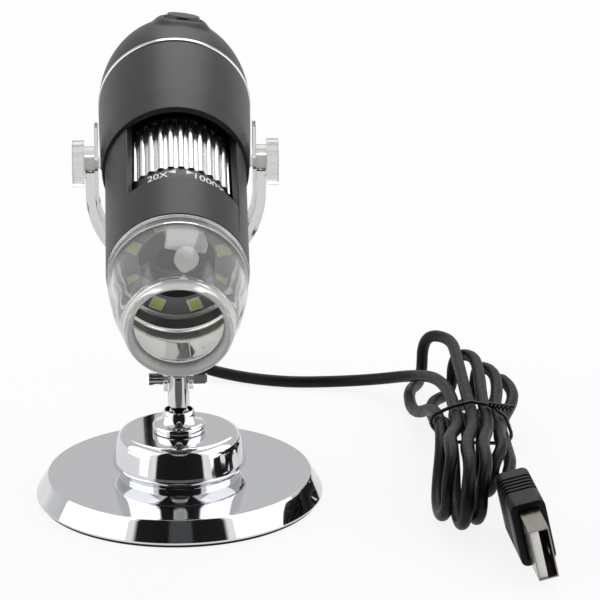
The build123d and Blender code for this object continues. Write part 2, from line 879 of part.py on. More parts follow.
def make_dimmer_pot():
    near = dimmer_width / 2 + face_gap * 2
    middle = dome_foot + dimmer_place
    axis = dimmer_axis_height()
    body = slab((near, near + pot_width), (main_board_thickness / 2, axis + pot_edge),
                (middle - pot_length / 2, middle + pot_length / 2))
    shaft = Pos(0, axis, middle) * cross_rod(dimmer_shaft_radius, -dimmer_width / 2, near + pot_width / 2)
    return body + shaft


def make_housing_screws():
    return Compound(children=[rolled(screw_shape(angle, 0)) for angle in screw_angles])


def make_strain_relief():
    tip = dome_foot + dome_length
    dome_drop = relief_flange_radius ** 2 * dome_length / (2 * dome_radius ** 2)
    inside = tip - dome_wall - seat_gap - dome_drop
    flange = rod(relief_flange_radius, inside - relief_flange, inside)
    shape = flange + rod(relief_radius, inside, tip + seat_gap)
    shape = shape + turned([(0, tip + seat_gap), (relief_collar_radius, tip + seat_gap),
                            (relief_end_radius, relief_end), (0, relief_end)])
    for step in range(relief_grooves):
        low = tip + relief_length * (step + 1) / (relief_grooves + 1)
        share = (low - tip) / relief_length
        outside = relief_collar_radius + (relief_end_radius - relief_collar_radius) * share
        shape = shape - sleeve(relief_collar_radius + overrun, outside - relief_groove_depth, low,
                               low + relief_groove_width)
    return shape


# cord, in the stand's frame

def on_axis(place):
    """Point on the microscope's axis, in the stand's frame."""
    lean = radians(rest_pitch)
    return (0, place * cos(lean), pin_height + place * sin(lean))


waist_y = 13.0
waist_top = ((66.6, 14.0), (70.2, 14.9), (73.8, 14.2), (76.8, 11.9), (78.0, 8.4))
waist_bottom = ((62.7, 12.2), (65.2, 9.0), (68.9, 11.1), (72.6, 10.3))
near_crest = ((62.4, -19.5, 17.4), (65.9, -25.0, 17.2), (70.1, -22.0, 16.6), (75.7, -4.0, 12.9))
near_tip = ((60.9, -27.5, 9.2), (64.8, -33.0, 9.2), (68.4, -30.0, 9.0), (72.8, -12.5, 7.4))
near_trough = ((59.9, -19.5, 1.8), (63.9, -25.0, 1.8), (67.6, -22.0, 1.8), (71.2, -5.0, 1.8))
far_trough = ((58.8, 52.0, 3.3), (63.8, 47.0, 2.4), (69.2, 43.0, 2.2), (75.0, 40.0, 2.0))
far_tip = ((63.8, 74.0, 8.0), (70.6, 62.5, 7.2), (75.8, 56.0, 7.0), (80.7, 51.0, 6.4))
far_crest = ((70.4, 60.0, 15.4), (75.2, 51.0, 14.2), (79.4, 45.0, 12.3), (83.2, 41.0, 9.8))
lead_points = ((0, 67.5, 99.1), (-0.7, 75.5, 97.6), (-2.5, 84.0, 90.5), (-4.5, 90.5, 78.0), (-7.0, 94.0, 62.0),
               (-8.0, 94.0, 44.0), (-7.0, 91.5, 27.0), (-3.5, 87.5, 12.5), (4.0, 82.0, 3.2), (15.0, 77.2, 1.6),
               (28.0, 72.2, 1.5), (41.0, 71.0, 1.9), (51.5, 67.0, 3.8), (60.0, 58.5, 7.8), (64.6, 44.5, 12.3),
               (66.6, 29.0, 14.0))
tail_points = ((78.0, 2.0, 8.4), (77.7, -7.0, 8.9))


def least_gap(first, second, skip):
    """Least clear distance between two runs of cord sampled on points."""
    least = inf
    for index, here in enumerate(first):
        others = second if skip == 0 else second[index + skip:]
        for there in others:
            least = min(least, dist(here, there))
    return least - 2 * cord_radius


def sampled(path, pitch):
    count = int(path.length / pitch)
    return [tuple(path @ (step / count)) for step in range(count + 1)]


def free_route(points):
    """Straight runs joined by the largest arcs that they allow."""
    route = [Vector(*point) for point in points]
    radii = []
    for before, here, after in zip(route, route[1:], route[2:]):
        turn = radians((here - before).get_angle(after - here))
        run = min((here - before).length, (after - here).length)
        radii.append(corner_share * run / tan(turn / 2))
    return FilletPolyline(*route, radius=radii), radii


def tube_along(path, radius):
    section = Plane(origin=path @ 0, z_dir=path % 0) * Circle(radius)
    return sweep(section, path=path)


def biarc(start, start_way, end, end_way):
    """Two arcs that leave and arrive along the given directions."""
    chord = end - start
    ways = start_way + end_way
    square = 2 * (1 - start_way.dot(end_way))
    if square < same_way_share:
        reach = chord.dot(chord) / (2 * chord.dot(ways))
    else:
        half = 2 * chord.dot(ways)
        reach = (sqrt(half ** 2 + 4 * square * chord.dot(chord)) - half) / (2 * square)
    middle = (start + start_way * reach + end - end_way * reach) / 2
    line = (middle - start).normalized()
    middle_way = line * (2 * start_way.dot(line)) - start_way
    return [Edge.make_tangent_arc(start, start_way, middle), Edge.make_tangent_arc(middle, middle_way, end)]


def hank_path():
    """Loops drawn in at the waist, from the lead's end to the tail's start."""
    toward = Vector(0, -1, 0)
    away = Vector(0, 1, 0)
    down = Vector(0, 0, -1)
    up = Vector(0, 0, 1)
    stations = []
    for loop in range(len(near_tip)):
        stations.append((Vector(waist_top[loop][0], waist_y, waist_top[loop][1]), toward))
        stations.append((Vector(*near_crest[loop]), toward))
        stations.append((Vector(*near_tip[loop]), down))
        stations.append((Vector(*near_trough[loop]), away))
        stations.append((Vector(waist_bottom[loop][0], waist_y, waist_bottom[loop][1]), away))
        stations.append((Vector(*far_trough[loop]), away))
        stations.append((Vector(*far_tip[loop]), up))
        stations.append((Vector(*far_crest[loop]), toward))
    stations.append((Vector(waist_top[-1][0], waist_y, waist_top[-1][1]), toward))
    straight = 2 * cord_radius
    first = stations[0][0]
    last = stations[-1][0]
    edges = [Edge.make_line(first - toward * straight, first)]
    for (start, start_way), (end, end_way) in zip(stations, stations[1:]):
        edges += biarc(start, start_way, end, end_way)
    edges.append(Edge.make_line(last, last + toward * straight))
    return Wire(edges)


def make_twist_tie():
    """Thin tie round all strands at the waist."""
    around = [waist_bottom[0], waist_top[0], waist_top[1], waist_top[2], waist_top[3], waist_top[4],
              waist_bottom[1]]
    hull = make_face(Polyline(*around, close=True))
    reach = cord_radius + tie_radius + tie_gap
    ring = Plane.XZ.offset(-waist_y) * offset(hull, reach)
    path = ring.faces()[0].outer_wire()
    return tube_along(path, tie_radius)


# plug at the cord's end

def plug_place():
    """Frame at the middle of the overmold's front face: Z forward, X across, Y up its width."""
    height = mold_width / 2 * cos(radians(plug_lean)) + mold_thickness / 2 * sin(radians(plug_lean))
    forward = Vector(sin(radians(plug_heading)), -cos(radians(plug_heading)), 0)
    level = Vector(cos(radians(plug_heading)), sin(radians(plug_heading)), 0)
    across = level * cos(radians(plug_lean)) + Vector(0, 0, 1) * sin(radians(plug_lean))
    return Location(Plane(origin=(plug_front[0], plug_front[1], height), x_dir=across, z_dir=forward))


def make_usb_overmold():
    block = extrude(RectangleRounded(mold_thickness, mold_width, mold_corner), -mold_length)
    for step in range(mold_ridges):
        low = -mold_ridge_start - step * mold_ridge_pitch
        ring = Rectangle(mold_thickness + overrun, mold_width + overrun) - RectangleRounded(
            mold_thickness - 2 * mold_ridge_depth, mold_width - 2 * mold_ridge_depth, mold_corner)
        block = block - Pos(0, 0, low) * extrude(ring, mold_ridge_width)
    boot_end = -mold_length - boot_length
    boot = turned([(0, -mold_length), (boot_root_radius, -mold_length), (boot_end_radius, boot_end),
                   (0, boot_end)])
    pocket = Box(usb_thickness + 2 * seat_gap, usb_width + 2 * seat_gap, 2 * usb_sunk)
    return plug_place() * (block + boot - pocket)


def make_usb_shell():
    outer = slab((-usb_thickness / 2, usb_thickness / 2), (-usb_width / 2, usb_width / 2),
                 (-usb_sunk, usb_length))
    hollow = slab((usb_wall - usb_thickness / 2, usb_thickness / 2 - usb_wall),
                  (usb_wall - usb_width / 2, usb_width / 2 - usb_wall),
                  (-usb_sunk + usb_wall, usb_length + overrun))
    shell = outer - hollow
    for side in (-1, 1):
        low = usb_latch_place - usb_latch_side / 2
        middle = side * usb_width / 4
        hole = slab((-usb_thickness, usb_thickness), (middle - usb_latch / 2, middle + usb_latch / 2),
                    (low, low + usb_latch_side))
        shell = shell - hole
    return plug_place() * shell


def make_usb_tongue():
    left = usb_wall + seat_gap - usb_thickness / 2
    half = usb_width / 2 - usb_wall - seat_gap
    return plug_place() * slab((left, left + tongue_thickness), (-half, half),
                               (-usb_sunk + usb_wall, usb_length - tongue_setback))


def make_usb_contacts():
    face = usb_wall + seat_gap - usb_thickness / 2 + tongue_thickness
    front = usb_length - tongue_setback - contact_setback
    strips = []
    for step in range(contact_count):
        middle = (step - (contact_count - 1) / 2) * contact_pitch
        across = (middle - contact_width / 2, middle + contact_width / 2)
        strips.append(slab((face, face + contact_thickness), across, (front - contact_length, front)))
    return plug_place() * Compound(children=strips)


# the whole set of pieces

def build_parts():
    parts = {
        "foot_pad": make_foot_pad(),
        "base_disc": make_base_disc(),
        "ballast_plate": make_ballast_plate(),
        "hub_cup": make_hub_cup(),
        "hub_screw": make_hub_screw(),
        "socket_cup": make_socket_cup(),
        "ball_seat": make_ball_seat(),
        "collar_nut": make_collar_nut(),
        "ball_stud": make_ball_stud(),
        "stem": make_stem(),
        "tilt_bolt": make_tilt_bolt(),
        "tilt_nut": make_tilt_nut(),
        "yoke": make_yoke(),
        "yoke_strip": make_yoke_strip(),
        "pivot_pin_left": make_pivot_pin(-1),
        "pivot_pin_right": make_pivot_pin(1),
    }
    straight = {
        "lower_barrel": make_lower_barrel(),
        "upper_shell": make_upper_shell(),
        "trim_ring": make_trim_ring(),
        "nose_hood": make_nose_hood(),
        "led_board": make_led_board(),
        "leds": make_leds(),
        "guide_tube": make_guide_tube(),
        "wheel_clip": make_wheel_clip(),
        "focus_wheel": make_focus_wheel(),
        "scale_band": make_scale_band(),
        "lens_barrel": make_lens_barrel(),
        "lens_front": make_lens_front(),
        "lens_ring": make_lens_ring(),
        "lens_rear": make_lens_rear(),
        "housing_screws": make_housing_screws(),
        "strain_relief": make_strain_relief(),
    }
    turned_with_window = {
        "dome_cap": make_dome_cap(),
        "sensor_board": make_sensor_board(),
        "image_sensor": make_image_sensor(),
        "ir_filter": make_ir_filter(),
        "main_board": make_main_board(),
        "board_chips": make_board_chips(),
        "button_switch": make_button_switch(),
        "snap_button": make_snap_button(),
        "dimmer_wheel": make_dimmer_wheel(),
        "dimmer_pot": make_dimmer_pot(),
    }
    for name, shape in straight.items():
        parts[name] = scope_place() * shape
    for name, shape in turned_with_window.items():
        parts[name] = scope_place() * rolled(shape)
    parts["usb_overmold"] = make_usb_overmold()
    parts["usb_shell"] = make_usb_shell()
    parts["usb_tongue"] = make_usb_tongue()
    parts["usb_contacts"] = make_usb_contacts()
    parts["twist_tie"] = make_twist_tie()
    return parts


def build_cord():
    """The cord's three nodes, with its radii, lengths, volumes and least gaps printed."""
    hank = hank_path()
    boot_end = (plug_place() * Location((0, 0, -mold_length - boot_length))).position
    boot_run = (plug_place() * Location((0, 0, -mold_length - boot_length - tail_end_run))).position
    lead, lead_radii = free_route((on_axis(relief_end),) + lead_points + (tuple(hank @ 0),))
    tail, tail_radii = free_route((tuple(hank @ 1),) + tail_points + (tuple(boot_run), tuple(boot_end)))
    cords = {}
    total = 0
    for name, path, radii in (("cord_lead", lead, lead_radii), ("cord_hank", hank, None),
                              ("cord_tail", tail, tail_radii)):
        solid = tube_along(path, cord_radius)
        expected = path.length * pi * cord_radius ** 2
        print(name, "length", round(path.length, 1), "volume share", round(solid.volume / expected, 4))
        if radii:
            print(name, "radii", [round(radius, 1) for radius in radii])
        lowest = min(point[2] for point in sampled(path, cord_radius))
        print(name, "lowest point", round(lowest - cord_radius, 3))
        cords[name] = solid
        total += path.length
    pitch = cord_radius * 2 / 3
    skip = int(8 * cord_radius / pitch)
    hank_points = sampled(hank, pitch)
    print("hank least gap to itself", round(least_gap(hank_points, hank_points, skip), 2))
    print("lead least gap to hank", round(least_gap(sampled(lead, pitch)[:-skip], hank_points, 0), 2))
    print("tail least gap to hank", round(least_gap(sampled(tail, pitch)[skip:], hank_points, 0), 2))
    print("cord length", round(total))
    return cords


def main():
    os.makedirs("parts", exist_ok=True)
    parts = build_parts()
    parts.update(build_cord())
    for name, shape in parts.items():
        export_step(shape, f"parts/{name}.step")
    print(len(parts), "nodes")


main()
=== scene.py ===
import json
import math

import bmesh
import bpy
from mathutils import Matrix, Vector


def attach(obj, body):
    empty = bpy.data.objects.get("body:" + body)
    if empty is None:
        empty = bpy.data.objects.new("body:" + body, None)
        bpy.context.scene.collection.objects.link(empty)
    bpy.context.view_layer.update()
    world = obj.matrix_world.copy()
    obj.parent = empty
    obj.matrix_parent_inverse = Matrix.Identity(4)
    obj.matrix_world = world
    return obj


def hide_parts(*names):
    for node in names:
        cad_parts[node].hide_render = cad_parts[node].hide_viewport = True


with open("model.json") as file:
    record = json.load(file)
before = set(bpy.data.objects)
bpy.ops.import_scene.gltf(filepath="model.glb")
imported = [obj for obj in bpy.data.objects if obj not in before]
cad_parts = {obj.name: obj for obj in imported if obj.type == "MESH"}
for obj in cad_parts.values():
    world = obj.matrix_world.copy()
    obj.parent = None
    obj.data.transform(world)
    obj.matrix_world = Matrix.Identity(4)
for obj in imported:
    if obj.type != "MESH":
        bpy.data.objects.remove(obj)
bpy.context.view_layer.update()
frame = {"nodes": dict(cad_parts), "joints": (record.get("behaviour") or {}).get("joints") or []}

bl_info = {
    "name": "USB digital microscope",
    "version": (1, 0, 0),
    "blender": (4, 5, 0),
    "location": "View3D > Sidebar > Microscope",
    "description": "Finished pieces, materials and studio for the packed microscope",
    "category": "Object",
}

# Sizes are millimetres and become metres where a piece is put in its place.
MM = 0.001
JOINTS = {joint["name"]: joint for joint in frame["joints"]}
PINS = Vector(JOINTS["scope_pitch"]["pos_m"])
SCOPE_AXIS = Vector(JOINTS["focus_turn"]["axis"]).normalized()
WINDOW_ROLL = math.radians(8.6)
# less than this lies on the axis, or turns not at all
SEAM = 0.0005
# place of the pieces that are modelled where they stand
STAND = Matrix.Identity(4)

# microscope sizes along its own axis, zero at the pivot pins
BARREL_FRONT = -47.6
BARREL_REAR = -4.5
SPIGOT_RADIUS = 15.35
SPIGOT_END = 6.0
BARREL_BORE = 14.1
WINDOW_FRONT = -32.8
WINDOW_REAR = 1.5
WINDOW_HALF_ANGLE = 51.5
SHELL_SIDE = [(16.75, -4.0), (17.25, 3.965), (17.5, 11.93), (17.7, 19.01), (17.75, 25.5)]
RING_FOOT = 25.55
RING_LENGTH = 1.3
DOME_FOOT = 26.9
DOME_RADIUS = 17.8
DOME_LENGTH = 28.0
DOME_WALL = 1.5
BUTTON_MIDDLE = 13.5
PAD_MIDDLE = 15.4
PAD_HALF_WIDTH = 6.2
PAD_HALF_LENGTH = 8.0
PAD_CORNER = 5.0
PAD_RISE = 0.9
RELIEF_END = 64.4
NOSE_SIDE = [(15.0, -53.03), (14.3, -58.07), (13.5, -61.99), (12.4, -66.02), (11.8, -68.48)]
NOSE_FRONT = -70.05
BOARD_FRONT = -43.4
LAMP_RING = 10.6
LAMP_START = 25.0
WHEEL_FRONT = -30.2
WHEEL_REAR = -3.0
BAND_REAR = -24.65
BAND_RADIUS = 13.25

# route of the cord, the same points as in the CAD source
WAIST_Y = 13.0
WAIST_TOP = ((66.6, 14.0), (70.2, 14.9), (73.8, 14.2), (76.8, 11.9), (78.0, 8.4))
WAIST_BOTTOM = ((62.7, 12.2), (65.2, 9.0), (68.9, 11.1), (72.6, 10.3))
NEAR_CREST = ((62.4, -19.5, 17.4), (65.9, -25.0, 17.2), (70.1, -22.0, 16.6), (75.7, -4.0, 12.9))
NEAR_TIP = ((60.9, -27.5, 9.2), (64.8, -33.0, 9.2), (68.4, -30.0, 9.0), (72.8, -12.5, 7.4))
NEAR_TROUGH = ((59.9, -19.5, 1.8), (63.9, -25.0, 1.8), (67.6, -22.0, 1.8), (71.2, -5.0, 1.8))
FAR_TROUGH = ((58.8, 52.0, 3.3), (63.8, 47.0, 2.4), (69.2, 43.0, 2.2), (75.0, 40.0, 2.0))
FAR_TIP = ((63.8, 74.0, 8.0), (70.6, 62.5, 7.2), (75.8, 56.0, 7.0), (80.7, 51.0, 6.4))
FAR_CREST = ((70.4, 60.0, 15.4), (75.2, 51.0, 14.2), (79.4, 45.0, 12.3), (83.2, 41.0, 9.8))
LEAD_POINTS = (
    (0, 67.5, 99.1), (-0.7, 75.5, 97.6), (-2.5, 84.0, 90.5), (-4.5, 90.5, 78.0), (-7.0, 94.0, 62.0),
    (-8.0, 94.0, 44.0), (-7.0, 91.5, 27.0), (-3.5, 87.5, 12.5), (4.0, 82.0, 3.2), (15.0, 77.2, 1.6),
    (28.0, 72.2, 1.5), (41.0, 71.0, 1.9), (51.5, 67.0, 3.8), (60.0, 58.5, 7.8), (64.6, 44.5, 12.3),
    (66.6, 29.0, 14.0), (66.6, 16.0, 14.0))
TAIL_POINTS = ((78.0, 10.0, 8.4), (78.0, 2.0, 8.4), (77.7, -7.0, 8.9))
CORD_DIAMETER = 3.0
TIE_RADIUS = 0.45
TIE_GAP = 0.2
TIE_CORNER_STEPS = 4
TIE_TWISTS = 3
TIE_TWIST_STEPS = 40
TIE_ENDS = ((74.6, 12.4, 16.4), (79.6, 6.4, 17.6))
PLUG_HEADING = math.radians(4.0)
PLUG_LEAN = math.radians(13.0)
PLUG_FRONT = (78.1, -48.0)
MOLD_THICKNESS = 8.0
MOLD_WIDTH = 15.0
MOLD_LENGTH = 20.0
BOOT_LENGTH = 8.0
TAIL_RUN = 5.0

# sizes of the stand, from the table and the stand's own axis
FOOT_RADIUS = 33.76
FOOT_EDGE = 0.8
FOOT_TOP = 5.82
FOOT_HOLE = 9.1
HUB_FOOT = 5.84
HUB_TOP = 16.0
HUB_HOLE = 5.4
SHEET = 1.2
COLLAR_FOOT = 16.1
COLLAR_TOP = 21.25
COLLAR_RADIUS = 6.2
COLLAR_EDGE = 0.15
COLLAR_STEP = 17.3
COLLAR_BORES = (5.35, 3.2)

# smaller sizes of the finished pieces
BUTTON_FLANGE = 4.6
BUTTON_RADIUS = 3.9
BUTTON_DEPTH = 2.5
NOSE_ROOT = -47.65
SPIGOT_WALL = (13.05, 14.05)
BARREL_RADII = (15.5, 16.0)
PIN_HOLE_RADIUS = 1.53
SHELL_BORE = 16.25
SHELL_STEP = 7.5
RING_RADIUS = 18.0
DOME_ROWS = 72
DOME_INNER_ROWS = 16
DOME_HOLE = 2.65
DIMMER_SLOT = (3.4, 12.0, 12.8)
DIMMER_MIDDLE = 9.1
HOLLOW_RADIUS = 4.5
HOLLOW_EDGE = 0.4
# the milky post in the nose is a painted reflection: a pale solid put where a softbox's reflection shows
POST_MIDDLE = (0, -10.9, -47.15)
BULB_MIDDLE = (0.4, -9.2, -56.2)
BOARD_BORE = 5.0
BOARD_RADIUS = 13.98
BOARD_THICKNESS = 1.6
MASK_RADIUS = 8.5
LAMPS = 8
LAMP_SIDE = 3.0
LAMP_POCKET = 2.3
WINDOW_CUT = (12.0, 18.0)
WHEEL_BORE = 11.0
WHEEL_RADIUS = 13.0
RIBS = 36
STEPS_PER_RIB = 20
RIB_FOOT = 12.85
RIB_RISE = 0.75
RIB_END = 0.9
BAND_BORE = 12.2
MARK_SIZE = 3.15
MARKS_ALONG = -27.1

# the camera's spot in millimetres and the way it looks, the room that mirrors show, and the softboxes
CAMERA_SPOT = (-2.598, -661.274, 265.376)
CAMERA_AIM = (0.04458, 0.94893, -0.31233)
ROOM_AROUND = ((0.0, 0.50), (0.30, 0.52), (0.5, 0.72), (0.70, 0.66), (0.79, 0.86), (0.865, 0.95),
               (0.885, 0.015), (1.0, 0.01))
ROOM_BEHIND = ((0.0, 0.9), (0.5, 0.95), (0.56, 0.68), (0.66, 0.6), (0.85, 0.66), (0.975, 0.72), (1.0, 0.8))
ROOM_TOP = (0.75, 0.75, 0.76, 1.0)
GREY_CARD = (0.065, 0.07, 0.075, 1)
FLOOR_MIRRORED = (0.86, 0.86, 0.87, 1)
FLOOR_DARK = (0.015, 0.015, 0.016, 1)
WHITE = (1, 1, 1, 1)
SEEN_THROUGH = (0.8, 0.8, 0.8, 1)
FLOOR_GLOW = 0.86
AIM_POINT = (0, 0, 0.05)
TOP_BOX = ((0.1, 0.75, 0.95), 0.7, 0.9)
SIDE_BOX = ((1.0, -0.15, 0.55), 1.2, 1.2)

# name for material and process, dark and light shade, roughness, then where they differ the grain's size and
# depth in millimetres and the sheen
PLASTICS = {
    "band": ("black_band_abs", "#101010", "#1A1A1A", 0.35),
    "print": ("white_pad_print", "#DADADA", "#F2F2F2", 0.5, 0.3, 0.003),
    "inner": ("matt_black_abs", "#131313", "#1C1C1C", 0.6, 0.4, 0.02),
    "board_dark": ("grey_solder_mask", "#7C7D7F", "#8C8D90", 0.4, 0.6),
    "board_green": ("green_solder_mask", "#10402A", "#175236", 0.35, 0.6),
    "chip": ("epoxy_moulded_package", "#141414", "#1D1D1D", 0.55, 0.3),
    "nylon": ("natural_nylon", "#D8D6CC", "#E6E4DA", 0.4),
    "foam": ("black_eva_foam", "#151515", "#202020", 0.85, 0.5, 0.06),
    "mold": ("moulded_black_vinyl", "#0A0A0A", "#101010", 0.42, 0.4, 0.015, 0.2),
    "tie": ("vinyl_coated_wire", "#0D0D0D", "#171717", 0.3),
    "tongue": ("white_glass_filled_pbt", "#DEDEDC", "#ECECEA", 0.45),
    "button": ("satin_black_abs", "#202021", "#2A2A2B", 0.4),
    "lamp_case": ("white_lamp_package", "#DDDCD4", "#ECEBE4", 0.35),
}

# name for material and process, colour, least and most roughness, the grain's size and, where it streaks, its
# stretch
METALS = {
    "trim": ("bright_foiled_abs", "#E4E4E4", 0.12, 0.2, 1.5),
    "wheel": ("chrome_plated_abs", "#E6E6E8", 0.1, 0.2, 1.2),
    "steel": ("zinc_plated_steel", "#B4B5B7", 0.25, 0.4, 0.5),
    "brushed": ("nickel_plated_stamped_steel", "#98938B", 0.12, 0.22, 0.15, (1, 0.05, 1)),
    "gold": ("gold_flashed_contact", "#D9B45A", 0.15, 0.25, 0.3),
}
MATERIALS = {}


def linear(code):
    """sRGB hex as the linear colour that a shader takes."""
    shares = [int(code[place:place + 2], 16) / 255 for place in (1, 3, 5)]
    return [share / 12.92 if share <= 0.04045 else ((share + 0.055) / 1.055) ** 2.4 for share in shares]


def colour_setting(name, description, code):
    return bpy.props.FloatVectorProperty(name=name, description=description, default=linear(code),
                                         subtype="COLOR", size=3, min=0.0, max=1.0)


class MicroscopeFinish(bpy.types.PropertyGroup):
    """Colours and marks of the microscope and its stand."""
    shell: colour_setting("Shell", "Soft-touch lacquer of the housing", "#1E1E1F")
    chrome: colour_setting("Chrome", "Plating of the foot, hub and stem", "#E2E3E5")
    clear: colour_setting("Clear plastic", "Tint of the nose, yoke and knobs", "#F1F1EF")
    lamp: colour_setting("Lamp", "Phosphor of the lamps", "#D8D67C")
    cord: colour_setting("Cord", "Vinyl jacket of the cord", "#0A0A0A")
    mold: colour_setting("Plug", "Moulded vinyl of the plug and relief", "#141414")
    low_mark: bpy.props.StringProperty(name="Low mark", description="Generic number left of the arrows",
                                       default="20X")
    high_mark: bpy.props.StringProperty(name="High mark", description="Generic number right of the arrows",
                                        default="1000X")


class MicroscopeStudio(bpy.types.PropertyGroup):
    """Sizes and levels of the stage."""
    floor_size: bpy.props.FloatProperty(name="Floor", description="Side of the floor", default=8.0,
                                        min=1.0, subtype="DISTANCE", unit="LENGTH")
    key_power: bpy.props.FloatProperty(name="Key", description="Power of the overhead softbox", default=3.5,
                                       min=0.0, subtype="POWER", unit="POWER")
    side_power: bpy.props.FloatProperty(name="Sides", description="Power of each side softbox", default=5.0,
                                        min=0.0, subtype="POWER", unit="POWER")
    ambient: bpy.props.FloatProperty(name="Ambient", description="Level of the world on matt surfaces",
                                     default=0.55, min=0.0, max=2.0, subtype="FACTOR")
    lens: bpy.props.FloatProperty(name="Focal length", description="Lens of the camera in millimetres",
                                  default=180.0, min=20.0, subtype="DISTANCE_CAMERA")


def finish_settings():
    return bpy.context.scene.microscope_finish


def studio_settings():
    return bpy.context.scene.microscope_studio


# places

def scope_place():
    """Matrix from the microscope's own axes to the stand: Z runs from the nose to the cord."""
    across = Vector((1, 0, 0))
    down = SCOPE_AXIS.cross(across)
    turn = Matrix((across, down, SCOPE_AXIS)).transposed().to_4x4()
    return Matrix.Translation(PINS) @ turn


def rolled_place():
    """The microscope's place turned with the window, wheel and button."""
    return scope_place() @ Matrix.Rotation(WINDOW_ROLL, 4, "Z")


def plug_place():
    """Matrix at the middle of the overmold's front: Z forward, X across, Y up its width."""
    height = MOLD_WIDTH / 2 * math.cos(PLUG_LEAN) + MOLD_THICKNESS / 2 * math.sin(PLUG_LEAN)
    forward = Vector((math.sin(PLUG_HEADING), -math.cos(PLUG_HEADING), 0))
    level = Vector((math.cos(PLUG_HEADING), math.sin(PLUG_HEADING), 0))
    across = level * math.cos(PLUG_LEAN) + Vector((0, 0, math.sin(PLUG_LEAN)))
    up = forward.cross(across)
    turn = Matrix((across, up, forward)).transposed().to_4x4()
    return Matrix.Translation(Vector((PLUG_FRONT[0], PLUG_FRONT[1], height)) * MM) @ turn


def on_axis(place):
    """Point on the microscope's axis, in metres."""
    return PINS + SCOPE_AXIS * place * MM


# modelling

def turn_by(degrees, axis="Z"):
    return Matrix.Rotation(math.radians(degrees), 4, axis)


def clear_choice():
    """Object mode with nothing chosen, so that the next piece starts alone."""
    if bpy.context.object and bpy.context.object.mode != "OBJECT":
        bpy.ops.object.mode_set(mode="OBJECT")
    bpy.ops.object.select_all(action="DESELECT")


def choose(*pieces):
    clear_choice()
    for piece in pieces:
        piece.select_set(True)
    bpy.context.view_layer.objects.active = pieces[0]


def edit_all(piece):
    """Edit mode on one piece, with its whole mesh chosen."""
    choose(piece)
    bpy.ops.object.mode_set(mode="EDIT")
    bpy.ops.mesh.select_all(action="SELECT")


def end_edit():
    bpy.ops.object.mode_set(mode="OBJECT")


def named(name):
    piece = bpy.context.object
    piece.name = name
    piece.data.name = name
    return piece


def started(name):
    """Name what was just added, and put its place, turn and size into its mesh."""
    bpy.ops.object.transform_apply(location=True, rotation=True, scale=True)
    return named(name)


def apply_modifier(piece, modifier):
    choose(piece)
    bpy.ops.object.modifier_apply(modifier=modifier.name)


def smooth(piece, angle=35, weighted=False):
    """Smooth shading up to the angle, and for large bevelled faces weighted normals."""
    choose(piece)
    bpy.ops.object.shade_smooth_by_angle(angle=math.radians(angle))
    if weighted:
        modifier = piece.modifiers.new("even_faces", "WEIGHTED_NORMAL")
        modifier.keep_sharp = True
        apply_modifier(piece, modifier)
    return piece


def soften(piece, width, segments=2, angle=32, clamp=True):
    """Round every edge that turns more than the angle."""
    modifier = piece.modifiers.new("soft_edges", "BEVEL")
    modifier.width = width
    modifier.segments = segments
    modifier.limit_method = "ANGLE"
    modifier.angle_limit = math.radians(angle)
    modifier.use_clamp_overlap = clamp
    apply_modifier(piece, modifier)
    return piece


def tidy_mesh(piece):
    """Merge what lies together and face everything outward."""
    edit_all(piece)
    bpy.ops.mesh.remove_doubles(threshold=0.002)
    bpy.ops.mesh.normals_make_consistent(inside=False)
    end_edit()
    return piece


def boolean(piece, cutter, operation="DIFFERENCE"):
    modifier = piece.modifiers.new("cut", "BOOLEAN")
    modifier.operation = operation
    modifier.object = cutter
    modifier.solver = "EXACT"
    apply_modifier(piece, modifier)
    bpy.data.objects.remove(cutter)
    return tidy_mesh(piece)


def bowed(start, through, end, steps=12):
    """Points of the round arc from one (radius, height) through a second to a third."""
    first, middle, last = Vector(start), Vector(through), Vector(end)
    along, across = middle - first, last - first
    double = 2 * (along.x * across.y - along.y * across.x)
    centre = first + Vector((across.y * along.length_squared - along.y * across.length_squared,
                             along.x * across.length_squared - across.x * along.length_squared)) / double
    begin = math.atan2(*reversed(first - centre))
    turn = math.atan2(*reversed(last - centre)) - begin
    turn = (turn + math.pi) % (2 * math.pi) - math.pi
    reach = (first - centre).length
    return [(centre.x + reach * math.cos(begin + turn * step / steps),
             centre.y + reach * math.sin(begin + turn * step / steps)) for step in range(steps + 1)]


def refined(outline, longest=1.2):
    """The same outline with its long sides divided, so shading stays even."""
    points = []
    for start, end in zip(outline, outline[1:]):
        parts = max(1, math.ceil(math.dist(start, end) / longest))
        points += [(start[0] + (end[0] - start[0]) * part / parts,
                    start[1] + (end[1] - start[1]) * part / parts) for part in range(parts)]
    return points + [outline[-1]]


def box_outline(inner, outer, low, high):
    """A rectangle's four (radius, height) corners."""
    return [(inner, low), (outer, low), (outer, high), (inner, high)]


def turned(name, outline, steps=96, rounding=0.0, segments=3):
    """A piece turned about Z from its closed (radius, height) outline, with rounded corners."""
    clear_choice()
    bpy.ops.mesh.primitive_plane_add(size=1)
    piece = named(name)
    edit_all(piece)
    bpy.ops.mesh.merge(type="CENTER")
    places = [Vector((radius, 0, height)) for radius, height in outline]
    bpy.ops.transform.translate(value=places[0])
    for start, end in zip(places, places[1:] + places[:1]):
        bpy.ops.mesh.extrude_vertices_move(TRANSFORM_OT_translate={"value": end - start})
    bpy.ops.mesh.select_all(action="SELECT")
    bpy.ops.mesh.remove_doubles(threshold=0.0001)
    if rounding:
        mesh = bmesh.from_edit_mesh(piece.data)
        for vertex in mesh.verts:
            vertex.select_set(vertex.co.x > SEAM)
        bmesh.update_edit_mesh(piece.data)
        bpy.ops.mesh.bevel(offset=rounding, offset_type="OFFSET", segments=segments, affect="VERTICES",
                           clamp_overlap=True)
    bpy.ops.mesh.select_all(action="SELECT")
    bpy.ops.mesh.spin(steps=steps, angle=math.radians(360), center=(0, 0, 0), axis=(0, 0, 1))
    return tidy_mesh(piece)


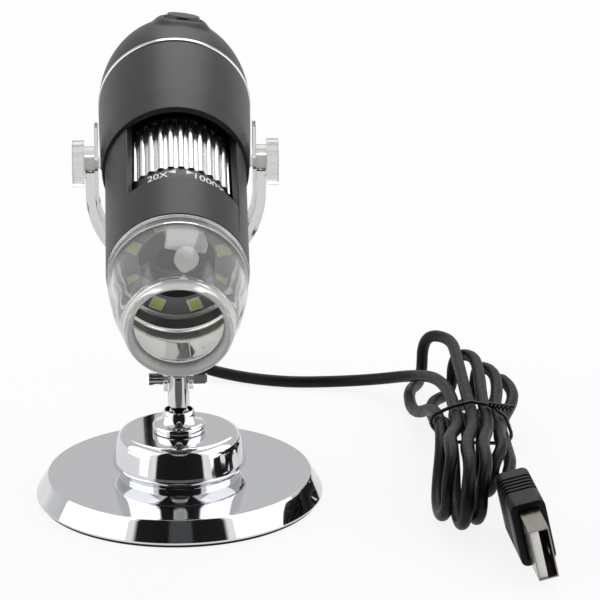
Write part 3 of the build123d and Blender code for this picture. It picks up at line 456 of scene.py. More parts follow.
def sector(name, inner, outer, low, high, half_angle):
    """Closed part of a ring, centred on the window's side."""
    clear_choice()
    bpy.ops.mesh.primitive_plane_add(size=1, rotation=(math.radians(90), 0, 0))
    piece = started(name)
    edit_all(piece)
    bpy.ops.transform.resize(value=(outer - inner, 1, high - low))
    bpy.ops.transform.translate(value=((outer + inner) / 2, 0, (high + low) / 2))
    bpy.ops.mesh.spin(steps=48, angle=math.radians(2 * half_angle), center=(0, 0, 0), axis=(0, 0, 1))
    bpy.ops.mesh.select_all(action="SELECT")
    bpy.ops.mesh.remove_doubles(threshold=0.001)
    bpy.ops.mesh.normals_make_consistent(inside=False)
    end_edit()
    spun = sorted(math.degrees(math.atan2(vertex.co.y, vertex.co.x)) for vertex in piece.data.vertices)
    piece.data.transform(turn_by(-90 - (spun[0] + spun[-1]) / 2))
    return piece


def block(name, size, middle):
    clear_choice()
    bpy.ops.mesh.primitive_cube_add(size=1, location=middle, scale=size)
    return started(name)


def cad_copy(name, node, soft, angle, segments=2):
    """A merged copy of a CAD node's mesh in millimetres, with its sharp edges rounded."""
    piece = bpy.data.objects.new(name, frame["nodes"][node].data.copy())
    bpy.context.scene.collection.objects.link(piece)
    piece.data.name = name
    choose(piece)
    bpy.ops.mesh.customdata_custom_splitnormals_clear()
    piece.data.transform(Matrix.Scale(1 / MM, 4))
    edit_all(piece)
    bpy.ops.mesh.remove_doubles(threshold=0.003)
    bpy.ops.mesh.dissolve_limited(angle_limit=math.radians(0.6))
    end_edit()
    return tidy_mesh(soften(piece, soft, segments, angle))


def copy_piece(piece, name, turn):
    """A copy with its own mesh, turned or moved by a matrix."""
    other = piece.copy()
    other.data = piece.data.copy()
    other.name = name
    other.data.name = name
    bpy.context.scene.collection.objects.link(other)
    other.data.transform(turn)
    return other


def join(pieces, name):
    choose(*pieces)
    bpy.ops.object.join()
    return named(name)


def give(piece, material):
    piece.data.materials.clear()
    piece.data.materials.append(MATERIALS[material])


def hand_over(piece, body, slot, material, *nodes):
    """Material, body and the CAD nodes that a finished piece stands for; the slot argument is not used."""
    give(piece, material)
    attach(piece, body)
    if nodes:
        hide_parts(*nodes)
    return piece


def deliver(piece, place, body, slot, material, *nodes):
    """Hand over a mesh, put in its place in metres, with the object at the origin."""
    piece.data.transform(place @ Matrix.Scale(MM, 4) @ piece.matrix_basis)
    piece.matrix_basis = Matrix.Identity(4)
    return hand_over(piece, body, slot, material, *nodes)


def dress(material, *nodes):
    """Give CAD nodes that stay their material."""
    for name in nodes:
        give(frame["nodes"][name], material)


def new_curve(name, radius, rings):
    """A curve object of round section, still without lines."""
    curve = bpy.data.curves.new(name, "CURVE")
    curve.dimensions = "3D"
    curve.bevel_depth = radius
    curve.bevel_resolution = rings
    curve.use_fill_caps = True
    made = bpy.data.objects.new(name, curve)
    bpy.context.scene.collection.objects.link(made)
    return made


def add_line(curve, kind, points):
    spline = curve.splines.new(kind)
    spline.points.add(len(points) - 1)
    for point, here in zip(spline.points, points):
        point.co = (*here, 1.0)
    return spline


# materials

def add_node(tree, kind, links=None, **settings):
    """One node with its settings, input values and incoming links."""
    made = tree.nodes.new(kind)
    for key, value in settings.items():
        setattr(made, key, value)
    for key, value in (links or {}).items():
        socket = made.inputs[key]
        if isinstance(value, bpy.types.NodeSocket):
            tree.links.new(value, socket)
        else:
            socket.default_value = value
    return made


def remap(tree, value, low, high, new_low=0.0, new_high=1.0):
    """A value carried from one range to another and kept inside it."""
    return add_node(tree, "ShaderNodeMapRange", {"Value": value, "From Min": low, "From Max": high,
                                                 "To Min": new_low, "To Max": new_high}).outputs["Result"]


def maths(tree, operation, first, second):
    return add_node(tree, "ShaderNodeMath", {0: first, 1: second}, operation=operation).outputs["Value"]


def blend(tree, share, first, second):
    return add_node(tree, "ShaderNodeMix", {"Factor": share, "A": first, "B": second},
                    data_type="RGBA").outputs["Result"]


def object_place(tree):
    return add_node(tree, "ShaderNodeTexCoord").outputs["Object"]


def split(tree, vector):
    return add_node(tree, "ShaderNodeSeparateXYZ", {"Vector": vector}).outputs


def heading(tree, vector):
    """The three parts of a vector's direction."""
    made = add_node(tree, "ShaderNodeVectorMath", {0: vector}, operation="NORMALIZE")
    return split(tree, made.outputs["Vector"])


def grain(tree, millimetres, detail=2.0, stretch=(1, 1, 1)):
    """Noise over Object coordinates whose features have a real size."""
    scaled = add_node(tree, "ShaderNodeMapping", {"Vector": object_place(tree), "Scale": stretch})
    return add_node(tree, "ShaderNodeTexNoise", {"Vector": scaled.outputs["Vector"], "Detail": detail,
                                                 "Scale": 1 / (millimetres * MM)}).outputs["Fac"]


def textured(name, colour, rough, bump=None, **values):
    """A material with noises on its roughness and surface.

    rough is a noise with the least and most roughness, bump a noise with its depth in millimetres.
    """
    material = bpy.data.materials.new(name)
    material.use_nodes = True
    tree = material.node_tree
    shader = tree.nodes["Principled BSDF"]
    shader.inputs["Base Color"].default_value = list(colour) + [1.0]
    for key, value in values.items():
        shader.inputs[key.replace("_", " ")].default_value = value
    noise, low, high = rough
    tree.links.new(remap(tree, grain(tree, *noise), 0.3, 0.7, low, high), shader.inputs["Roughness"])
    if bump:
        noise, depth = bump
        made = add_node(tree, "ShaderNodeBump", {"Height": grain(tree, *noise), "Distance": depth * MM,
                                                 "Strength": 1.0})
        tree.links.new(made.outputs["Normal"], shader.inputs["Normal"])
    return material


def tinted(material, noise, dark, light):
    """Let the base colour wander between two linear colours."""
    tree = material.node_tree
    colour = blend(tree, grain(tree, *noise), dark + [1.0], light + [1.0])
    tree.links.new(colour, tree.nodes["Principled BSDF"].inputs["Base Color"])
    return material


def soft_touch():
    """Soft-touch lacquer over moulded ABS: broad sheen, with a spray grain drawn at 0.35 mm to show."""
    shade, spray = finish_settings().shell, (0.35, 2.0)
    material = textured("soft_touch_lacquered_abs", shade, (spray, 0.40, 0.48), (spray, 0.012),
                        Specular_IOR_Level=0.5)
    dark, light = [[min(1.0, part * share) for part in shade] for share in (0.88, 1.12)]
    return tinted(material, (4.0, 4.0), dark, light)


def clear_plastic(name, smoothest, roughest, milk, streaks, depth):
    """Moulded clear polycarbonate: glassy, slightly milky, with faint flow lines and rubbed haze."""
    return textured(name, finish_settings().clear, ((6.0, 3.0), smoothest, roughest),
                    ((3.5, 1.5, streaks), depth), IOR=1.5, Transmission_Weight=1.0 - milk)


def clear_nose_plastic():
    """The yoke's plastic with drawn flow lines; near its thick lip it turns milkier, a painted highlight that
    stands in for the light the lip catches.
    """
    material = clear_plastic("clear_moulded_nose", 0.01, 0.03, 0.065, (1, 0.12, 1), 0.08)
    tree = material.node_tree
    along = add_node(tree, "ShaderNodeVectorMath", {0: object_place(tree), 1: SCOPE_AXIS},
                     operation="DOT_PRODUCT")
    lip = PINS.dot(SCOPE_AXIS) + NOSE_FRONT * MM
    # painted highlight: transmission falls towards the lip so that the lip shows pale
    clear = remap(tree, along.outputs["Value"], lip + 2.2 * MM, lip + 0.8 * MM, 0.935, 0.6)
    tree.links.new(clear, tree.nodes["Principled BSDF"].inputs["Transmission Weight"])
    return material


def plain_plastic(name, dark, light, roughness, size=0.5, depth=0.01, sheen=0.5):
    """Moulded plastic with a fine eroded grain and slight shade changes."""
    fine = (size, 3.0)
    material = textured(name, linear(light), (fine, roughness - 0.05, roughness + 0.05), (fine, depth),
                        Specular_IOR_Level=sheen)
    return tinted(material, (3.0, 3.0), linear(dark), linear(light))


def worked_metal(name, code, low, high, size, stretch=(1, 1, 1)):
    """Metal whose finish streaks along one direction or wanders evenly."""
    fine = (size, 3.0, stretch)
    return textured(name, linear(code), (fine, low, high), (fine, 0.004), Metallic=1.0)


def coated_glass(name, code):
    """Polished glass with an anti-reflection coating's cool tint."""
    return textured(name, linear(code), ((5.0, 2.0), 0.0, 0.02), IOR=1.52, Transmission_Weight=1.0)


def make_materials():
    """Every finish on the microscope, by the maker's words for it."""
    settings = finish_settings()
    # bright chrome over a polished steel pressing: mirror-like, with faint handling haze and waves
    MATERIALS["chrome"] = textured("chrome_plated_steel", settings.chrome, ((9.0, 3.0), 0.03, 0.07),
                                   ((14.0, 1.0), 0.008), Metallic=1.0)
    MATERIALS["shell"] = soft_touch()
    MATERIALS["clear"] = clear_plastic("clear_moulded_polycarbonate", 0.015, 0.05, 0.1, (1, 1, 1), 0.03)
    MATERIALS["clear_nose"] = clear_nose_plastic()
    # milky clear acrylic for the post in the nose, a painted reflection: the pale block stands in for a
    # softbox's reflection in the clear plastic; it scatters the lamps' light
    MATERIALS["painted_reflection"] = textured("painted_reflection_acrylic", linear("#FAFBFD"), ((0.6, 3.0), 0.28, 0.45),
                                    ((0.5, 2.0), 0.02), IOR=1.49, Transmission_Weight=0.4,
                                    Subsurface_Weight=0.3, Subsurface_Scale=0.004)
    # extruded black vinyl: even sheen along the cord, with faint dust and draw marks
    MATERIALS["cord"] = textured("extruded_black_vinyl", settings.cord, ((1.2, 4.0), 0.36, 0.52),
                                 ((0.6, 2.0), 0.006), Specular_IOR_Level=0.2)
    # phosphor-filled silicone: matt lemon yellow that takes light in
    MATERIALS["lamp"] = textured("phosphor_silicone", settings.lamp, ((0.3, 2.0), 0.3, 0.45),
                                 ((0.25, 2.0), 0.01), Subsurface_Weight=0.2, Subsurface_Scale=0.0005)
    MATERIALS["glass"] = coated_glass("coated_optical_glass", "#DDF0EC")
    MATERIALS["filter"] = coated_glass("infrared_filter_glass", "#BFE3E0")
    for recipes, maker in ((METALS, worked_metal), (PLASTICS, plain_plastic)):
        for key, values in recipes.items():
            MATERIALS[key] = maker(*values)


# camera and cord

class MICROSCOPE_OT_camera(bpy.types.Operator):
    """Camera at the photograph's viewing angle"""
    bl_idname = "microscope.camera"
    bl_label = "Camera"

    def execute(self, context):
        clear_choice()
        bpy.ops.object.camera_add(location=Vector(CAMERA_SPOT) * MM)
        camera = context.object
        camera.name = "camera"
        camera.rotation_mode = "QUATERNION"
        camera.rotation_quaternion = Vector(CAMERA_AIM).to_track_quat("-Z", "Y")
        camera.data.lens = studio_settings().lens
        camera.data.sensor_width = 36.0
        camera.data.clip_start = 0.01
        camera.data.clip_end = 50.0
        context.scene.camera = camera
        return {"FINISHED"}


def hank_points():
    """Two control points between each pair of stations, on the stations' own directions."""
    toward, away = Vector((0, -1, 0)), Vector((0, 1, 0))
    down, up = Vector((0, 0, -1)), Vector((0, 0, 1))
    tops, bottoms = [[(x, WAIST_Y, z) for x, z in row] for row in (WAIST_TOP, WAIST_BOTTOM)]
    one_loop = ((tops, toward), (NEAR_CREST, toward), (NEAR_TIP, down), (NEAR_TROUGH, away), (bottoms, away),
                (FAR_TROUGH, away), (FAR_TIP, up), (FAR_CREST, toward))
    stations = [(Vector(spots[loop]), way) for loop in range(len(NEAR_TIP)) for spots, way in one_loop]
    stations.append((Vector(tops[-1]), toward))
    points = []
    for (start, start_way), (end, end_way) in zip(stations, stations[1:]):
        chord = end - start
        half = 2 * chord.dot(start_way + end_way)
        square = 2 * (1 - start_way.dot(end_way))
        if square < SEAM:
            reach = chord.length_squared / half
        else:
            reach = (math.sqrt(half ** 2 + 4 * square * chord.length_squared) - half) / (2 * square)
        points += [start + start_way * reach, end - end_way * reach]
    return points


class MICROSCOPE_OT_cord(bpy.types.Operator):
    """Cord from the strain relief, through the tied hank, to the plug"""
    bl_idname = "microscope.cord"
    bl_label = "Cord"

    def execute(self, context):
        clear_choice()
        place = plug_place()
        route = [on_axis(RELIEF_END)]
        route += [Vector(point) * MM for point in LEAD_POINTS]
        route += [point * MM for point in hank_points()]
        route += [Vector(point) * MM for point in TAIL_POINTS]
        route += [place @ (Vector((0, 0, -MOLD_LENGTH - BOOT_LENGTH - run)) * MM) for run in (TAIL_RUN, 0)]
        cord = new_curve("cord", CORD_DIAMETER / 2 * MM, 5)
        cord.data.resolution_u = 10
        spline = add_line(cord.data, "NURBS", route)
        spline.order_u = 3
        spline.use_endpoint_u = True
        hand_over(cord, "scope", "cord", "cord", "cord_lead", "cord_hank", "cord_tail")
        return {"FINISHED"}


def tie_loop():
    """The tie's middle line round the waist's outer strands, every corner rounded."""
    corners = [Vector(spot) for spot in (WAIST_BOTTOM[0],) + WAIST_TOP + (WAIST_BOTTOM[1],)]
    reach = CORD_DIAMETER / 2 + TIE_RADIUS + TIE_GAP
    points = []
    for index, corner in enumerate(corners):
        before = corner - corners[index - 1]
        after = corners[(index + 1) % len(corners)] - corner
        start = math.atan2(before.x, -before.y)
        turn = (math.atan2(after.x, -after.y) - start + math.pi) % (2 * math.pi) - math.pi
        for step in range(TIE_CORNER_STEPS + 1):
            angle = start + turn * step / TIE_CORNER_STEPS
            out = reach * math.cos(angle), reach * math.sin(angle)
            points.append(Vector((corner.x + out[0], WAIST_Y, corner.y + out[1])))
    return points


class MICROSCOPE_OT_tie(bpy.types.Operator):
    """Vinyl-coated wire tie round the hank's waist, with its twisted ends"""
    bl_idname = "microscope.tie"
    bl_label = "Wire tie"

    def execute(self, context):
        clear_choice()
        tie = new_curve("wire_tie", TIE_RADIUS, 3)
        add_line(tie.data, "POLY", tie_loop()).use_cyclic_u = True
        root, tip = Vector(TIE_ENDS[0]), Vector(TIE_ENDS[1])
        along = (tip - root).normalized()
        side = along.cross(Vector((0, 0, 1))).normalized()
        up = side.cross(along)
        for half in (0, math.pi):
            wound = []
            for step in range(TIE_TWIST_STEPS + 1):
                angle = half + 2 * TIE_TWISTS * math.pi * step / TIE_TWIST_STEPS
                out = side * math.cos(angle) + up * math.sin(angle)
                wound.append(root.lerp(tip, step / TIE_TWIST_STEPS) + out * TIE_RADIUS)
            add_line(tie.data, "POLY", wound)
        choose(tie)
        bpy.ops.object.convert(target="MESH")
        deliver(smooth(named("wire_tie"), 60), STAND, "scope", "tie", "tie", "twist_tie")
        return {"FINISHED"}


class MICROSCOPE_OT_plug(bpy.types.Operator):
    """Overmold with its grip ridges, steel shell, tongue and contacts"""
    bl_idname = "microscope.plug"
    bl_label = "Plug"

    def execute(self, context):
        mold = smooth(cad_copy("plug_overmold", "usb_overmold", 0.18, 38), 40)
        deliver(mold, STAND, "scope", "mold", "mold", "usb_overmold")
        shell = smooth(cad_copy("plug_shell", "usb_shell", 0.08, 38), 40)
        deliver(shell, STAND, "scope", "usb_steel", "brushed", "usb_shell")
        dress("tongue", "usb_tongue")
        dress("gold", "usb_contacts")
        return {"FINISHED"}


# stand

class MICROSCOPE_OT_foot(bpy.types.Operator):
    """Pressed chrome disc, hub and collar, with the parts under them"""
    bl_idname = "microscope.foot"
    bl_label = "Foot"

    def execute(self, context):
        inside = FOOT_TOP - SHEET
        rim = [(FOOT_RADIUS - SHEET, FOOT_EDGE), (33.5, FOOT_EDGE), (33.7, 0.86), (FOOT_RADIUS, 0.98)]
        bevel = refined([(FOOT_RADIUS, 1.3), (31.08, 5.68)], 0.6)
        crease = bowed((31.02, 5.75), (30.94, 5.81), (30.8, FOOT_TOP), 4)
        top = refined([(30.4, FOOT_TOP), (FOOT_HOLE, FOOT_TOP)], 1.5)
        under = [(FOOT_HOLE, inside), (29.75, inside), (32.4, 1.6)]
        disc = turned("foot_disc", rim + bevel + crease + top + under, 200)
        deliver(smooth(disc, 24), STAND, "base", "chrome", "chrome", "base_disc")
        under = bowed((14.2, 6.55), (14.85, 7.2), (15.45, 7.95), 6)
        bulge = bowed((15.5, 8.05), (15.76, 8.55), (15.72, 9.1), 6)
        side = bowed((15.7, 9.3), (15.23, 11.3), (14.62, 13.9), 12)
        crown = bowed((14.5, 14.2), (13.9, 15.41), (12.5, HUB_TOP), 12)
        top = refined([(12.1, HUB_TOP), (HUB_HOLE, HUB_TOP)], 1.0)
        inside = HUB_TOP - SHEET
        hub = turned("hub_shell", [(13.0, HUB_FOOT), (14.2, HUB_FOOT)] + under + bulge + side + crown + top +
                     [(HUB_HOLE, inside), (13.3, inside), (13.0, 13.0)], 200)
        deliver(smooth(hub, 45), STAND, "base", "chrome", "chrome", "hub_cup")
        wide, narrow = COLLAR_BORES
        edge = COLLAR_RADIUS - COLLAR_EDGE
        nut = [(wide, COLLAR_FOOT), (edge, COLLAR_FOOT), (COLLAR_RADIUS, COLLAR_FOOT + COLLAR_EDGE),
               (COLLAR_RADIUS, 17.7), (edge, 17.9)]
        cone = bowed((5.9, 18.0), (4.4, 18.95), (3.75, 20.4), 10)
        mouth = [(3.64, 20.95), (3.5, 21.2), (3.35, COLLAR_TOP), (narrow, COLLAR_TOP), (narrow, COLLAR_STEP),
                 (wide, COLLAR_STEP)]
        collar = turned("collar_nut_turned", nut + cone + mouth, 144)
        deliver(smooth(collar, 40), STAND, "collar", "chrome", "chrome", "collar_nut")
        dress("foam", "foot_pad")
        dress("steel", "ballast_plate", "hub_screw", "socket_cup")
        dress("nylon", "ball_seat")
        return {"FINISHED"}


class MICROSCOPE_OT_stem(bpy.types.Operator):
    """Ball, stem, bolt and nut"""
    bl_idname = "microscope.stem"
    bl_label = "Stem"

    def execute(self, context):
        dress("chrome", "ball_stud", "stem", "tilt_bolt", "tilt_nut")
        return {"FINISHED"}


class MICROSCOPE_OT_yoke(bpy.types.Operator):
    """Clear yoke, its inner strip and the two pivot knobs"""
    bl_idname = "microscope.yoke"
    bl_label = "Yoke"

    def execute(self, context):
        for name, body, soft in (("yoke", "yoke", 0.3), ("yoke_strip", "yoke", 0.12),
                                 ("pivot_pin_left", "scope", 0.3), ("pivot_pin_right", "scope", 0.3)):
            piece = cad_copy("clear_" + name, name, soft, 40, 3)
            deliver(smooth(piece, 40, True), STAND, body, "clear", "clear", name)
        return {"FINISHED"}


# housing

def cut_pin_holes(piece):
    """One hole for both pivot pins, right across."""
    clear_choice()
    bpy.ops.mesh.primitive_cone_add(vertices=40, radius1=PIN_HOLE_RADIUS, radius2=PIN_HOLE_RADIUS, depth=44)
    cutter = started("pin_cutter")
    cutter.data.transform(turn_by(90, "Y"))
    return boolean(piece, cutter)


class MICROSCOPE_OT_barrel(bpy.types.Operator):
    """Lower barrel with the focus window"""
    bl_idname = "microscope.barrel"
    bl_label = "Lower barrel"

    def execute(self, context):
        front, rear = BARREL_RADII
        outline = [(BARREL_BORE, BARREL_FRONT), (front, BARREL_FRONT), (rear, BARREL_REAR),
                   (SPIGOT_RADIUS, BARREL_REAR), (SPIGOT_RADIUS, SPIGOT_END), (BARREL_BORE, SPIGOT_END)]
        barrel = turned("lower_barrel_shell", outline, 160, 0.18)
        window = sector("window_cutter", *WINDOW_CUT, WINDOW_FRONT, WINDOW_REAR, WINDOW_HALF_ANGLE)
        window.data.transform(Matrix.Rotation(WINDOW_ROLL, 4, "Z"))
        boolean(barrel, window)
        cut_pin_holes(barrel)
        soften(barrel, 0.2, 3, 50, clamp=False)
        deliver(smooth(barrel, 40, True), scope_place(), "scope", "shell_black", "shell", "lower_barrel")
        return {"FINISHED"}


class MICROSCOPE_OT_shell(bpy.types.Operator):
    """Upper shell and the bright ring behind it"""
    bl_idname = "microscope.shell"
    bl_label = "Upper shell"

    def execute(self, context):
        front_bore, end = SPIGOT_RADIUS + 0.05, SHELL_SIDE[-1][1]
        shell = turned("upper_shell_body", [(front_bore, SHELL_SIDE[0][1])] + SHELL_SIDE +
                       [(SHELL_BORE, end), (SHELL_BORE, SHELL_STEP), (front_bore, SHELL_STEP)], 160, 0.2)
        cut_pin_holes(shell)
        deliver(smooth(shell, 40, True), scope_place(), "scope", "shell_black", "shell", "upper_shell")
        ring = turned("bright_ring", box_outline(SHELL_BORE, RING_RADIUS, RING_FOOT, RING_FOOT + RING_LENGTH),
                      160, 0.3, 4)
        deliver(smooth(ring, 50), scope_place(), "scope", "bright_trim", "trim", "trim_ring")
        return {"FINISHED"}


def pad_share(point):
    """How far a point of the dome stands inside the button pad's rounded outline, from 0 to 1."""
    x, y, z = point
    if y > 0:
        return 0.0
    across = abs(x) - (PAD_HALF_WIDTH - PAD_CORNER)
    along = abs(z - DOME_FOOT - PAD_MIDDLE) - (PAD_HALF_LENGTH - PAD_CORNER)
    outside = math.hypot(max(across, 0), max(along, 0)) + min(max(across, along), 0) - PAD_CORNER
    share = min(1.0, max(0.0, 0.4 - outside / 2.6))
    return share * share * (3 - 2 * share)


def button_frame():
    """Matrix on the dome's side, with Z pointing out square to its surface."""
    radius = DOME_RADIUS * math.sqrt(1 - (BUTTON_MIDDLE / DOME_LENGTH) ** 2)
    lean = math.atan((DOME_RADIUS / DOME_LENGTH) ** 2 * BUTTON_MIDDLE / radius)
    return (Matrix.Translation((0, -radius, DOME_FOOT + BUTTON_MIDDLE)) @
            Matrix.Rotation(math.radians(90) - lean, 4, "X"))


def dome_side(radius, length, rows, brim):
    """Half of an ellipse from the dome's foot up to the hole at its top."""
    turns = [math.pi / 2 * row / rows for row in range(rows + 1)]
    points = [(radius * math.cos(turn), DOME_FOOT + length * math.sin(turn)) for turn in turns]
    return [point for point in points if point[0] > DOME_HOLE] + [(DOME_HOLE, brim)]


class MICROSCOPE_OT_dome(bpy.types.Operator):
    """Dome with the raised button pad, its side hollows and the dimmer slot"""
    bl_idname = "microscope.dome"
    bl_label = "Dome"

    def execute(self, context):
        brim = DOME_FOOT + DOME_LENGTH * math.sqrt(1 - (DOME_HOLE / DOME_RADIUS) ** 2)
        outer = dome_side(DOME_RADIUS, DOME_LENGTH, DOME_ROWS, brim)
        inner = dome_side(DOME_RADIUS - DOME_WALL, DOME_LENGTH - DOME_WALL, DOME_INNER_ROWS, brim - DOME_WALL)
        dome = turned("dome_shell", outer + inner[::-1], 240)
        button = button_frame()
        out = button.col[2].to_3d()
        for vertex in dome.data.vertices:
            x, y, z = vertex.co
            height = z - DOME_FOOT
            inside = (math.hypot(x, y) / DOME_RADIUS) ** 2 + (height / DOME_LENGTH) ** 2 < 0.97
            if inside or height > DOME_LENGTH - 1.0 or height < 0.01:
                continue
            normal = Vector((x / DOME_RADIUS ** 2, y / DOME_RADIUS ** 2, height / DOME_LENGTH ** 2))
            raised = PAD_RISE * pad_share(vertex.co)
            apart = vertex.co - button.translation
            apart -= out * apart.dot(out)
            if y < 0 and apart.length < HOLLOW_RADIUS:
                raised -= min(1.0, (HOLLOW_RADIUS - apart.length) / HOLLOW_EDGE)
            vertex.co += normal.normalized() * raised
        boolean(dome, block("slot_cutter", DIMMER_SLOT, (0, DOME_RADIUS, DOME_FOOT + DIMMER_MIDDLE)))
        deliver(smooth(dome, 35), rolled_place(), "scope", "shell_black", "shell", "dome_cap")
        return {"FINISHED"}


class MICROSCOPE_OT_button(bpy.types.Operator):
    """Snapshot button with its dished, ringed top"""
    bl_idname = "microscope.button"
    bl_label = "Button"

    def execute(self, context):
        flange = [(0.0, -BUTTON_DEPTH), (BUTTON_FLANGE, -BUTTON_DEPTH), (BUTTON_FLANGE, -2.1)]
        side = [(BUTTON_RADIUS, -2.05), (BUTTON_RADIUS, 1.0), (3.75, 1.17), (3.5, 1.2)]
        dish = [(3.2, 1.12), (2.8, 0.98), (1.6, 0.86), (0.0, 0.82)]
        cap = turned("snap_button_cap", flange + side + dish, 72)
        place = button_frame()
        place.translation = place.translation * MM
        deliver(smooth(cap, 50), rolled_place() @ place, "button", "button", "button", "snap_button")
        dress("inner", "button_switch")
        return {"FINISHED"}


class MICROSCOPE_OT_nose(bpy.types.Operator):
    """Clear nose with its rolled lip, inner steps, and a milky post that is a painted reflection of a softbox
    """
    bl_idname = "microscope.nose"
    bl_label = "Nose"

    def execute(self, context):
        lip = bowed((11.6, -69.3), (11.25, -69.85), (10.8, NOSE_FRONT), 6)
        mouth = bowed((10.6, -70.03), (9.85, -68.85), (9.43, -67.0), 10)
        inner = [(9.5, -66.85), (9.8, -66.7), (10.4, -66.62), (10.45, -66.2), (10.95, -66.1), (11.05, -65.6),
                 (11.5, -64.6), (12.15, -61.99), (12.95, -58.07), (13.65, -53.03), (13.9, NOSE_ROOT)]
        thin, wide = SPIGOT_WALL
        spigot = [(thin, -43.45), (wide, -43.45), (wide, NOSE_ROOT)]
        bead = [(14.9, NOSE_ROOT), (15.3, -47.68), (15.42, -47.85), (15.42, -48.25), (15.3, -48.45),
                (15.16, -48.6)]
        nose = turned("clear_nose", spigot + bead + NOSE_SIDE + lip + mouth + inner, 160)
        deliver(smooth(nose, 60), scope_place(), "scope", "clear", "clear_nose", "nose_hood")
        self.add_post()
        return {"FINISHED"}

    def add_post(self):
        """A milky block that widens forward to a tip, with a round bulb on its end: a painted reflection,
        standing in for a softbox's reflection in the nose.
        """
        post = block("painted_reflection_post", (7.6, 2.6, 5.7), POST_MIDDLE)
        edit_all(post)
        self.grow_front(post, (0.1, 0.1, -4.2), (1.16, 0.9, 1))
        self.grow_front(post, (0.2, 0.5, -1.5), (0.55, 0.9, 1))
        end_edit()
        soften(post, 0.4, 4, 20)
        clear_choice()
        bpy.ops.mesh.primitive_uv_sphere_add(segments=40, ring_count=20, radius=2.6, location=BULB_MIDDLE)
        bulb = started("bulb")
        middle = BULB_MIDDLE[0]
        for vertex in bulb.data.vertices:
            drop = max(0.0, vertex.co.y - BULB_MIDDLE[1] - 1.0)
            vertex.co.x = middle + (vertex.co.x - middle) * (1 - 0.16 * drop)
            vertex.co.y += 0.9 * drop
        boolean(post, bulb, "UNION")
        # painted reflection: the pale post stands in for a softbox's reflection
        deliver(smooth(post, 50), rolled_place(), "scope", "clear", "painted_reflection")

    def grow_front(self, piece, shift, scale):
        """Extrude the foremost face of the post and shape its new end."""
        mesh = bmesh.from_edit_mesh(piece.data)
        front = min(mesh.faces, key=lambda face: face.calc_center_median().z)
        for face in mesh.faces:
            face.select_set(face is front)
        bmesh.update_edit_mesh(piece.data)
        bpy.ops.mesh.extrude_region_move(TRANSFORM_OT_translate={"value": shift})
        bpy.ops.transform.resize(value=scale)


class MICROSCOPE_OT_lamps(bpy.types.Operator):
    """Lamp board and its eight surface-mounted lamps"""
    bl_idname = "microscope.lamps"
    bl_label = "Lamp board"

    def execute(self, context):
        outline = box_outline(BOARD_BORE, BOARD_RADIUS, BOARD_FRONT, BOARD_FRONT + BOARD_THICKNESS)
        board = turned("lamp_board", outline, 96, 0.1)
        deliver(smooth(board), scope_place(), "scope", "board_dark", "board_dark", "led_board")
        outline = box_outline(BOARD_BORE, MASK_RADIUS, BOARD_FRONT - 0.09, BOARD_FRONT - 0.01)
        deliver(smooth(turned("lens_mask", outline, 72)), scope_place(), "scope", "inner_black", "inner")
        case = block("case", (LAMP_SIDE, LAMP_SIDE, 0.75), (LAMP_RING, 0, BOARD_FRONT - 0.375))
        boolean(case, block("pocket", (LAMP_POCKET, LAMP_POCKET, 0.6), (LAMP_RING, 0, BOARD_FRONT - 0.75)))
        soften(case, 0.12)
        glow = LAMP_POCKET - 0.02
        phosphor = block("phosphor", (glow, glow, 0.28), (LAMP_RING, 0, BOARD_FRONT - 0.58))
        soften(phosphor, 0.08)
        turns = [turn_by(LAMP_START + step * 360 / LAMPS) for step in range(LAMPS)]
        for source, name, material, nodes in ((case, "lamp_packages", "lamp_case", ("leds",)),
                                              (phosphor, "lamp_phosphor", "lamp", ())):
            ring = join([copy_piece(source, name + "_copy", turn) for turn in turns], name)
            bpy.data.objects.remove(source)
            deliver(smooth(ring), scope_place(), "scope", "lamp", material, *nodes)
        return {"FINISHED"}


class MICROSCOPE_OT_optics(bpy.types.Operator):
    """Guide tube, lens carriage, sensor and boards inside"""
    bl_idname = "microscope.optics"
    bl_label = "Optics and boards"

    def execute(self, context):
        dress("inner", "guide_tube", "lens_barrel", "lens_ring")
        dress("glass", "lens_front", "lens_rear")
        dress("filter", "ir_filter")
        dress("steel", "wheel_clip", "housing_screws")
        dress("board_green", "sensor_board", "main_board")
        dress("chip", "image_sensor", "board_chips", "dimmer_pot")
        return {"FINISHED"}


class MICROSCOPE_OT_wheel(bpy.types.Operator):
    """Ribbed chrome focus wheel"""
    bl_idname = "microscope.wheel"
    bl_label = "Focus wheel"

    def execute(self, context):
        low, high = BAND_REAR + 0.03, WHEEL_REAR
        rows = [low, low + 0.1, low + 0.25, low + 0.5, low + RIB_END]
        rows += [low + RIB_END + (high - low - 2 * RIB_END) * step / 8 for step in range(1, 8)]
        rows += [high - RIB_END, high - 0.5, high - 0.25, high - 0.1, high]
        outline = [(WHEEL_BORE, low)] + [(WHEEL_RADIUS, row) for row in rows] + [(WHEEL_BORE, high)]
        wheel = turned("focus_wheel_ribs", outline, RIBS * STEPS_PER_RIB)
        for vertex in wheel.data.vertices:
            x, y, z = vertex.co
            if math.hypot(x, y) < WHEEL_RADIUS - 1:
                continue
            angle = math.atan2(y, x)
            phase = (angle * RIBS / (2 * math.pi)) % 1 - 0.5
            swell = math.sqrt(max(0.0, 1 - (phase / 0.4) ** 2))
            edge = max(0.0, min(1.0, (z - low + 0.7) / RIB_END, (high - z) / RIB_END))
            radius = RIB_FOOT + RIB_RISE * swell * math.sqrt(1 - (1 - edge) ** 2)
            vertex.co.x, vertex.co.y = radius * math.cos(angle), radius * math.sin(angle)
        seat = turned("band_seat", box_outline(WHEEL_BORE, BAND_BORE - 0.1, WHEEL_FRONT, low - 0.02), 72, 0.1)
        both = join([wheel, seat], "focus_wheel_ribs")
        deliver(smooth(both, 40), scope_place(), "focus", "wheel_chrome", "wheel", "focus_wheel")
        return {"FINISHED"}


